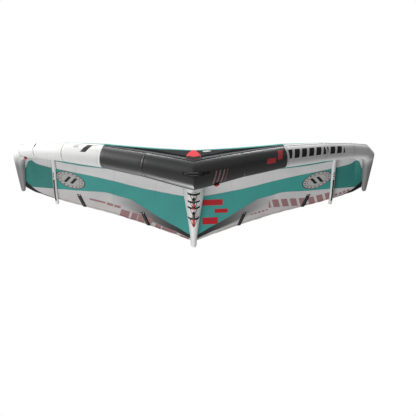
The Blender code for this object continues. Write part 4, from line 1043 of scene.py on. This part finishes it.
def layer(name, table, low, high, finish, slot, *nodes):
    """A closed patch between two heights over a grid of (point, normal); bevelled rim."""
    last, end = len(table) - 1, len(table[0]) - 1
    middle = (end + 1) // 2
    sheets = [[[point + normal * (rim if i in (0, last) or j in (0, end) else height)
                for j, (point, normal) in enumerate(row)] for i, row in enumerate(table)]
              for height, rim in ((high, low + (high - low) * 0.35), (low, low))]
    runs = runs_along([row[middle][0] for row in table])
    maps = {"patch": [[(i / last, j / end) for j in range(end + 1)] for i in range(last + 1)],
            "tube": [[(run, math.copysign((point - row[middle][0]).length, j - middle))
                      for j, (point, normal) in enumerate(row)] for run, row in zip(runs, table)]}
    piece(name, sheets[0], maps, finish, slot, *nodes, wrap=False, low_rows=sheets[1])


def flipped(table, side):
    """A grid of points and normals for the right or the left half."""
    return [[sided(pair, side) for pair in row] for row in table]


def make_hem(side):
    """Folded hem of the trailing edge."""
    rows = []
    low_rows = []
    maps = {"zones": [], "plan": []}
    stations = spread(0.12, 3.63, 90)
    for before, height in HEM_FOLD:
        outer = []
        inner = []
        tuck = 0.0007 if abs(height) > 0.95 else 0.0
        for station in stations:
            point, normal = cloth_place(station, share_before_edge(station, max(before, 0)))
            aft = (canopy_point(station, 1.0) - canopy_point(station, 0.995)).normalized()
            point = point + aft * max(-before, 0)
            outer.append(point + normal * height * HALF_HEM)
            inner.append(point + normal * (height * HALF_HEM - math.copysign(tuck, height))
                         - aft * (0.0006 if before < 0 else 0.0))
        rows.append(sided(outer, side))
        low_rows.append(sided(inner, side))
        maps["zones"].append([(station, 7.5) for station in stations])
        maps["plan"].append([(side * point.x, max(before, 0.0)) for point in outer])
    return piece(side_name("trailing_hem", side), rows, maps, "canopy", "trailing_edge_tape",
                 side_name("trailing_edge_band", side), wrap=False, low_rows=low_rows)


def make_edge_trim():
    """Hems of the trailing edge, corner patches, batten pockets and top seam tapes."""
    hems = []
    stations = spread(CORNER_DEPTHS[0][0], CORNER_DEPTHS[-1][0], 44)
    table = [[cloth_place(s, share_before_edge(s, straight(CORNER_DEPTHS, s) * back))
              for s in stations] for back in spread(1.0, 0.0, 8)]
    for side in (-1, 1):
        hems.append(make_hem(side))
        layer(side_name("corner_patch", side), flipped(table, side), -0.0029, -0.0014,
              "black_patch", "black_dacron", side_name("tip_corner_patch", side))
        for number, station in enumerate(BATTEN_STATIONS, 1):
            make_pocket(number, station, side)
        make_top_tape(side_name("top_seam_tape", side), MINI_STATION, side, 0.04)
    make_top_tape("top_seam_tape", 0.0, 1, 0.24)
    return hems


def make_pocket(number, station, side):
    """Sewn pocket of a batten: a flat pillow with a thin stitched rim, open at the edge."""
    rows = []
    low_rows = []
    half = BATTEN_WIDTH / 2 + 0.0025
    steps = 16
    last = len(POCKET_SECTION) - 1
    for back in spread(1.0, 0.0, steps):
        place = station + BATTEN_LEAN * back
        share = share_before_edge(place, BATTEN_LENGTH * back + 0.004)
        point, normal = canopy_point(place, share), canopy_normal(place, share)
        way = normal.cross(point - canopy_point(place, share - 0.01)).normalized()
        swell = min(1.0, (1 - back) / 0.04 + 0.25)
        for sheet, full in ((rows, 0.0), (low_rows, swell)):
            sheet.append(sided([point + way * half * x
                                - normal * (POCKET_TOP + (depth - POCKET_TOP) * full)
                                for x, depth in POCKET_SECTION], side))
    maps = [[(i / steps, j / last) for j in range(last + 1)] for i in range(steps + 1)]
    piece(side_name(f"batten_pocket_{number}_cloth", side), rows, {"patch": maps}, "black_patch",
          "black_dacron", side_name(f"batten_pocket_{number}", side), wrap=False,
          low_rows=low_rows)


def make_top_tape(name, station, side, front):
    """Seam tape on top of the cloth along one of its seams."""
    places = [station + offset / tube_run(1.0) for offset in spread(-0.011, 0.011, 4)]
    table = [[sided(cloth_place(abs(place), share), -1 if place < 0 else 1) for place in places]
             for share in spread(front, 0.99, 60)]
    layer(name, flipped(table, side), 0.0006, 0.0013, "top_tape", "teal_ripstop")


def tube_patch(name, station, wide, high, side, slot, node):
    """A patch with drawn-in corners, sewn to the leading edge at the nose handle's angle."""
    table = []
    for u in spread(-1.0, 1.0, 12):
        table.append([])
        for v in spread(-1.0, 1.0, 12):
            here = station + wide * u * (0.7 + 0.3 * math.sqrt(1 - v * v / 2))
            angle = NOSE_ANGLE + high * v * (0.7 + 0.3 * math.sqrt(1 - u * u / 2))
            point = tube_point(here, angle, pucker(here, angle))
            out = point - CENTRES[0].lerp(CENTRES[1], here)
            table[-1].append((point, out.normalized()))
    layer(name, flipped(table, side), 0.0003, 0.0016, "pad", slot, node)


def make_nose_patch():
    """Red reinforcement on top of the cloth where both halves meet at the nose."""
    table = []
    for back in spread(0.0, 1.0, 23):
        lap = min(max(1 - back / NOSE_PATCH_LAP, 0), 1)
        share = max(back - NOSE_PATCH_LAP, 0) / (1 - NOSE_PATCH_LAP) * NOSE_PATCH_REACH
        taper = max(back - NOSE_PATCH_RED, 0) / (1 - NOSE_PATCH_RED)
        half = NOSE_PATCH_HALF * (1 - 0.95 * taper) / tube_run(1.0)
        table.append([])
        for x in spread(-1.0, 1.0, 12):
            place = abs(x) * half
            pair = cloth_place(place, share)
            if lap > 0:
                angle = lift_angle(place) + LAP_ANGLE * 0.66 * lap
                point = tube_point(place, angle, CLOTH_SEAT + pucker(place, angle))
                pair = (point, (point - CENTRES[0].lerp(CENTRES[1], place)).normalized())
            table[-1].append(sided(pair, -1 if x < 0 else 1))
    layer("nose_reinforcement", table, 0.0006, 0.0022, "red_patch", "red_patch", "nose_patch")


def strap(name, path, half_widths, half_thicknesses, across, power, node, body="wing"):
    """A webbing strap along a path; a power below one squares its section."""
    turns = turns_of(20)
    rings = []
    maps = []
    for i, (centre, run) in enumerate(zip(path, runs_along(path))):
        along = (path[min(i + 1, len(path) - 1)] - path[max(i - 1, 0)]).normalized()
        rise = along.cross(across).normalized()
        section = [[math.copysign(abs(v) ** power, v) for v in (math.cos(turn), math.sin(turn))]
                   for turn in turns[:-1]]
        rings.append([centre + across * half_widths[i] * c + rise * half_thicknesses[i] * s
                      for c, s in section])
        maps.append([(run, half_widths[i] * math.cos(turn)) for turn in turns])
    piece(name, rings, maps, "webbing", "webbing", node, body=body, fill=True)


def strut_place(line, hang, along):
    """Centre, radius and run of the strut in the plane across a grip at its hang."""
    for a, b, near, far, run in zip(line[0], line[0][1:], line[1], line[1][1:],
                                    runs_along(line[0])):
        low, high = (a - hang).dot(along), (b - hang).dot(along)
        if low <= 0 <= high:
            t = -low / (high - low)
            return a.lerp(b, t), near * (1 - t) + far * t, run + (b - a).length * t
    raise ValueError("the strut does not reach over this hang")


def make_yoke(name, hang, along, line, node):
    """Webbing from one side of the strut round under the grip; returns the grid of its pad."""
    up = (UP - along * along.z).normalized()
    centre, radius, run = strut_place(line, hang, along)
    high = (centre - hang).dot(up)
    arc = GRIP_RADIUS + 0.002
    seat = radius + 0.0042
    target = Vector((YOKE_HALF_WIDTH, HANDLE_DROP + YOKE_HALF_WIDTH / 2))
    leave = math.atan2(target.y, target.x) - math.acos(arc / target.length)
    near = Vector((math.cos(leave), math.sin(leave))) * arc
    way = (target - near).normalized()
    off = near - Vector((0, high))
    along_way = -off.dot(way)
    meet = near + way * (along_way - math.sqrt(along_way ** 2 - off.length_squared + seat ** 2))
    turn = math.atan2(meet.x, high - meet.y)
    half = []
    for length in (0.024, 0.018, 0.012, 0.006, 0.002):
        there = turn + length / seat
        out = seat + strut_dips(run, math.pi - there)
        half.append(Vector((math.sin(there) * out, high - math.cos(there) * out)))
    half += [near.lerp(meet, t) for t in (0.96, 0.8, 0.6, 0.4, 0.2)]
    half += [Vector((math.cos(a), math.sin(a))) * arc for a in spread(leave, -math.pi / 2, 8)]
    path = [hang + Vector((p.x, 0, 0)) + up * p.y for p in half]
    path += sided(path[-2::-1], -1)
    strap(name, path, [YOKE_STRAP[0]] * len(path), [YOKE_STRAP[1]] * len(path), along, 0.45, node)
    table = []
    wide = turn + 0.034 / seat
    for u in spread(-0.02, 0.02, 10):
        table.append([])
        for v in spread(-wide, wide, 32):
            out = radius + strut_dips(run + u, math.pi - v)
            normal = Vector((math.sin(v), 0, 0)) - up * math.cos(v)
            table[-1].append((hang + along * u + up * high + normal * out, normal))
    return table


def turned_map(profile, sides):
    """Coordinates along and round a turned profile."""
    return [[(run, radius * turn) for turn in turns_of(sides)] for run, radius in profile]


def lathe(name, start, along, profile, finish, slot, node, body="wing", sides=48):
    """A ring turned from a closed profile of (run, radius) round an axis."""
    profile = profile + profile[:1]
    rings = [ring(start + along * run, along, radius, sides) for run, radius in profile]
    piece(name, rings, turned_map(profile, sides), finish, slot, node, body=body, weld=True)


def grip_profile(length, radius, bore):
    """Profile of a foam grip with rounded ends and shallow grooves."""
    groove = 0.0006
    ends = ((0.0, -0.003), (0.0004, -0.0016), (0.0012, -0.0006), (0.003, 0.0))
    profile = [(0.0, bore)] + [(run, radius + drop) for run, drop in ends]
    steps = 4 * max(2, int(length / 0.012))
    for k in range(1, steps):
        depth = groove * (1, 0.25, 0, 0.25)[k % 4]
        profile.append((0.004 + (length - 0.008) * k / steps, radius - depth))
    profile += [(length - run, radius + drop) for run, drop in reversed(ends)]
    return profile + [(length, bore)]


def make_handles(line):
    """Grips under the strut with their yokes and pads."""
    pads = []
    hangs = [Vector((0, y, z)) for y, z in HANGS]
    for title, front, rear in (("front", *hangs[:2]), ("rear", *hangs[2:])):
        along = (rear - front).normalized()
        reach = (rear - front).length
        half = GRIP_NOSE + reach / 2
        whole = GRIP_NOSE + reach + GRIP_TAIL
        for place, colour, low, high in (("front", "black", 0.0, half - PIECE_GAP),
                                         ("rear", "red", half + PIECE_GAP, whole)):
            lathe(f"{title}_grip_{place}_foam", front + along * (low - GRIP_NOSE), along,
                  grip_profile(high - low, GRIP_RADIUS, GRIP_BORE), f"{colour}_foam",
                  f"{colour}_foam", f"{title}_grip_{colour}")
        for hang, where in ((front, "a"), (rear, "b")):
            pads.append(make_yoke(f"{title}_yoke_{where}_webbing", hang, along, line,
                                  f"{title}_handle_yoke_{where}"))
    for number, table in enumerate(pads, 1):
        layer(f"handle_pad_{number}_cloth", table, 0.0006, 0.0024, "pad", "pad",
              f"handle_pad_{number}")


def make_nose_handle():
    """Swinging handle on the nose: strap, grip, two sewn feet and the leash patch."""
    middle = Vector((0, NOSE_ROOT.y, NOSE_ROOT.z))
    out = NOSE_OUT.normalized()
    right = Vector((1, 0, 0))
    half_grip = 0.05
    shares = [(i, *row) for i, row in enumerate(STRAP_SHARES)]
    path = []
    for place in spread(0.0, len(STRAP_SHARES) - 1, STRAP_STEPS):
        x, rise = follow(shares, place)
        path.append(middle + right * (half_grip + (NOSE_ROOT.x - half_grip) * x)
                    + out * NOSE_REACH * min(rise, 1.0))
    path.insert(0, path[0] - (path[1] - path[0]).normalized() * 0.0035)
    widths = [0.0035] + [straight(STRAP_WIDTHS, k) for k in range(STRAP_STEPS + 1)]
    thin = [0.002] + [straight(STRAP_THICKNESSES, k) for k in range(STRAP_STEPS + 1)]
    strap("nose_handle_strap", sided(path, -1) + path[-2::-1], widths + widths[-2::-1],
          thin + thin[-2::-1], out.cross(right), 0.6, "nose_handle_webbing", "nose_handle")
    lathe("nose_handle_foam", middle + out * NOSE_REACH - right * (half_grip - PIECE_GAP), right,
          grip_profile(2 * (half_grip - PIECE_GAP), 0.015, 0.008), "black_foam", "black_foam",
          "nose_handle_grip", "nose_handle")
    wide = 0.026 / tube_run(1.0)
    high = math.degrees(0.018 / tube_radius(NOSE_STATION))
    for side in (-1, 1):
        tube_patch(side_name("nose_handle_foot_cloth", side), NOSE_STATION, wide, high, side,
                   "pad", side_name("nose_handle_foot", side))
    tube_patch("leash_patch_cloth", NOSE_STATION + 2 * wide, wide * 0.77, high * 0.7, 1,
               "webbing", "leash_patch")


def add_block(made, place, low, high, bevel):
    """Add a rounded block between two corners of a placement to a piece."""
    shape = bmesh.new()
    low, high = Vector(low), Vector(high)
    matrix = (Matrix.Translation(FRAME_SHIFT) @ place @ Matrix.Translation((low + high) / 2)
              @ Matrix.Diagonal((*(high - low), 1)))
    bmesh.ops.create_cube(shape, size=1.0, matrix=matrix)
    bmesh.ops.bevel(shape, geom=shape.edges[:], offset=bevel, segments=2, affect="EDGES")
    shape.from_mesh(made.data)
    bmesh.ops.recalc_face_normals(shape, faces=shape.faces)
    for face in shape.faces:
        face.smooth = True
    shape.to_mesh(made.data)
    shape.free()


def make_valve(kind, origin, outward_way, radius):
    """Seat and hinged cap of a valve; its base and pin stay as the node is."""
    z = outward_way.normalized()
    x = (Vector((0, 1, 0)) - z * z.y).normalized()
    place = Matrix((x, z.cross(x), z)).transposed().to_4x4()
    place.translation = origin
    flange, bore = 0.2 * radius, 0.55 * radius
    seat = flange + PIECE_GAP
    seat_top = seat + 0.26 * radius
    edge = 0.86 * radius
    profile = [(seat, bore), (seat, edge - 0.0006), (seat + 0.0006, edge),
               (seat_top - 0.0009, edge), (seat_top, edge - 0.0009), (seat_top, bore + 0.0005),
               (seat_top - 0.0005, bore)]
    lathe(f"{kind}_valve_seat_ring", origin, z, profile, "plastic", "valve_black",
          f"{kind}_valve_seat")
    low = seat_top + PIECE_GAP
    top = low + 0.3 * radius
    rim = 0.78 * radius
    bevel = 0.08 * radius
    plug = bore - 0.0006
    pin = 0.07 * radius
    profile = [(low - bevel, plug * 0.75), (low - bevel, plug - 0.0006), (low - 0.0006, plug),
               (low, plug), (low, rim - 0.0006), (low + 0.0006, rim), (top - bevel, rim),
               (top - bevel * 0.3, rim - bevel * 0.4), (top, rim - bevel * 1.2),
               (top, rim * 0.8), (top - 0.001, rim * 0.76), (top - 0.001, rim * 0.3),
               (top - 0.0004, rim * 0.26), (top - 0.0004, rim * 0.05)]
    rings = [[ring_point(origin + z * run, z, z, size * (1 + 0.006 * (k % 2) * (size == rim)),
                         2 * math.pi * k / LID_SIDES) for k in range(LID_SIDES)]
             for run, size in profile]
    cap = piece(f"{kind}_valve_lid", rings, turned_map(profile, LID_SIDES), "red_plastic",
                "valve_red", f"{kind}_valve_cap", body=f"{kind}_cap", fill=True)
    half = 0.22 * radius
    pivot = (radius + 2 * pin, flange + 2 * pin + 0.0005)
    add_block(cap, place, (rim - 2 * pin, -half, low + 0.0003),
              (pivot[0], half - 0.0003, low + 2 * pin), 0.0004)
    add_block(cap, place, (-rim - 2.2 * pin, -half, low + 0.0005),
              (-rim + 2 * pin, half, low + 2 * pin), 0.0006)
    way = place.to_3x3() @ Vector((0, 1, 0))
    start = place @ Vector((pivot[0], 0, pivot[1])) - way * half
    profile = [(0, pin + 0.0005), (0, 2 * pin - 0.0002), (0.0003, 2 * pin),
               (2 * half - 0.0003, 2 * pin), (2 * half, 2 * pin - 0.0002),
               (2 * half, pin + 0.0005)]
    lathe(f"{kind}_valve_knuckle", start, way, profile, "red_plastic", "valve_red",
          f"{kind}_valve_cap", f"{kind}_cap", 32)


def dress_nodes():
    """Finishes of the nodes that stay as they are."""
    finishes = {"webbing": "core", "batten": "batten", "hose": "hose", "valve_black": "plastic"}
    for row in frame["record"]["subparts"]:
        made = frame["nodes"][row["node"]]
        if not made.hide_render:
            for place in made.material_slots:
                place.material = FINISHES[finishes[row["material_slot"]]]


def make_camera():
    """Camera below and in front of the nose, at the photograph's angle and framing."""
    tilt = math.radians(20)
    distance = 14.4
    image = 416
    focal_pixels = 1400
    look = Vector((0, math.cos(tilt), math.sin(tilt)))
    data = bpy.data.cameras.new("camera")
    data.sensor_width = 36
    data.lens = data.sensor_width * focal_pixels / image
    data.shift_x = 14.3 / image
    data.shift_y = -34.2 / image
    data.clip_start = 0.1
    data.clip_end = 200
    place = Vector((0, 0, ROOT_HEIGHT)) + FRAME_SHIFT - look * distance
    made = aimed("camera", data, place, look)
    bpy.context.scene.camera = made


def aimed(name, data, place, look):
    """A camera or lamp at a place that looks one way."""
    made = bpy.data.objects.new(name, data)
    made.location = place
    made.rotation_mode = "QUATERNION"
    made.rotation_quaternion = look.to_track_quat("-Z", "Y")
    bpy.context.scene.collection.objects.link(made)
    return made


def area_lamp(name, place, target, size, power):
    """A soft lamp that faces a point."""
    data = bpy.data.lights.new(name, "AREA")
    data.shape = "RECTANGLE"
    data.size, data.size_y = size
    data.energy = power
    made = aimed(name, data, place, Vector(target) - Vector(place))
    made.visible_camera = False


def camera_split(tree, lit, seen, output):
    """Light the scene with one shader and show the camera another."""
    rays = tree.nodes.new("ShaderNodeLightPath").outputs["Is Camera Ray"]
    mixed = tree.nodes.new("ShaderNodeMixShader")
    for source, target in zip((rays, lit.outputs[0], seen.outputs[0]), mixed.inputs):
        tree.links.new(source, target)
    tree.links.new(mixed.outputs[0], tree.nodes[output].inputs[0])


def make_studio():
    """Pale floor far below, a white world and soft lamps."""
    scene = bpy.context.scene
    scene.view_settings.view_transform = "Standard"
    world = bpy.data.worlds.new("studio")
    world.use_nodes = True
    scene.world = world
    back = world.node_tree.nodes["Background"]
    white = world.node_tree.nodes.new("ShaderNodeBackground")
    for node, colour, strength in ((back, (0.98, 0.99, 1.0, 1), 0.32), (white, (1, 1, 1, 1), 1.0)):
        node.inputs["Color"].default_value = colour
        node.inputs["Strength"].default_value = strength
    camera_split(world.node_tree, back, white, "World Output")
    far = 90.0
    level = -6.0
    mesh = bpy.data.meshes.new("floor")
    mesh.from_pydata([(x * far, y * far, level) for x, y in ((-1, -1), (1, -1), (1, 1), (-1, 1))],
                     [], [(0, 1, 2, 3)])
    floor = bpy.data.objects.new("floor", mesh)
    f = Finish("floor_pale", (0.88, 0.88, 0.88), 0.8)
    dim = f.node("ShaderNodeBsdfDiffuse", (0.42, 0.42, 0.42))
    glow = f.node("ShaderNodeEmission", (1, 1, 1), 0.35)
    seen = f.node("ShaderNodeAddShader", f.shader.outputs[0], glow.outputs[0])
    camera_split(f.tree, dim, seen, "Material Output")
    mesh.materials.append(f.material)
    scene.collection.objects.link(floor)
    area_lamp("key", (-11.2, -4.0, 4.0), (0, 0, 0.4), (3.0, 3.0), 1480)
    area_lamp("top", (0.0, -0.5, 6.5), (0, -0.8, 0.4), (5.5, 1.5), 360)
    area_lamp("under", (-1.8, 4.6, -5.2), (-0.1, 0.2, 0.4), (5.0, 2.5), 370)


def make_finishes():
    """All materials of the wing, by the names that the pieces use."""
    FINISHES.update({
        "canopy": canopy_finish(),
        "le_black": tube_finish("leading_edge_black", "black"),
        "le_white_left": tube_finish("leading_edge_white_left", "white_left"),
        "le_white_right": tube_finish("leading_edge_white_right", "white_right"),
        "le_tip": tube_finish("tip_tube_cloth", "tip"),
        "center_strut": strut_finish("strut_cloth", False),
        "mini_strut": strut_finish("mini_strut_cloth", True),
        "tape_black": tape_finish("tape_black", (0.012, 0.012, 0.013), 0.4, 0.9),
        "tape_white": tape_finish("tape_white", (0.7, 0.7, 0.69)),
        "top_tape": tape_finish("tape_teal", (0.05, 0.26, 0.23)),
        "webbing": webbing_finish("webbing_black", (0.012, 0.012, 0.013)),
        "black_foam": foam_finish("foam_black", (0.016, 0.016, 0.017)),
        "red_foam": foam_finish("foam_red", (0.66, 0.01, 0.012)),
        "plastic": plastic_finish("valve_plastic", (0.014, 0.014, 0.014)),
        "red_plastic": plastic_finish("valve_red_plastic", (0.62, 0.012, 0.016)),
        "film": film_finish("bladder_film", (0.72, 0.76, 0.78)),
        "hose": plastic_finish("hose_plastic", (0.55, 0.57, 0.6), 0.35),
        "batten": plastic_finish("batten_glass", (0.7, 0.69, 0.62), 0.35),
        "core": plastic_finish("core_plastic", (0.02, 0.02, 0.021), 0.5),
        "red_patch": patch_finish("nose_patch_cloth", (0.7, 0.045, 0.055), 0.7,
                                  NOSE_PATCH_RED),
        "black_patch": patch_finish("black_patch_cloth", (0.008, 0.008, 0.009)),
        "pad": patch_finish("pad_cloth", (0.02, 0.02, 0.021), 0.7),
    })


def main():
    """Dress the frame."""
    make_camera()
    make_studio()
    make_finishes()
    canopy, area = make_canopy()
    make_leading_edge()
    line = make_struts()
    hems = make_edge_trim()
    make_nose_patch()
    make_handles(line)
    make_nose_handle()
    for kind, (origin, outward_way, radius) in VALVES.items():
        make_valve(kind, Vector(origin), Vector(outward_way), radius)
    dress_nodes()


main()
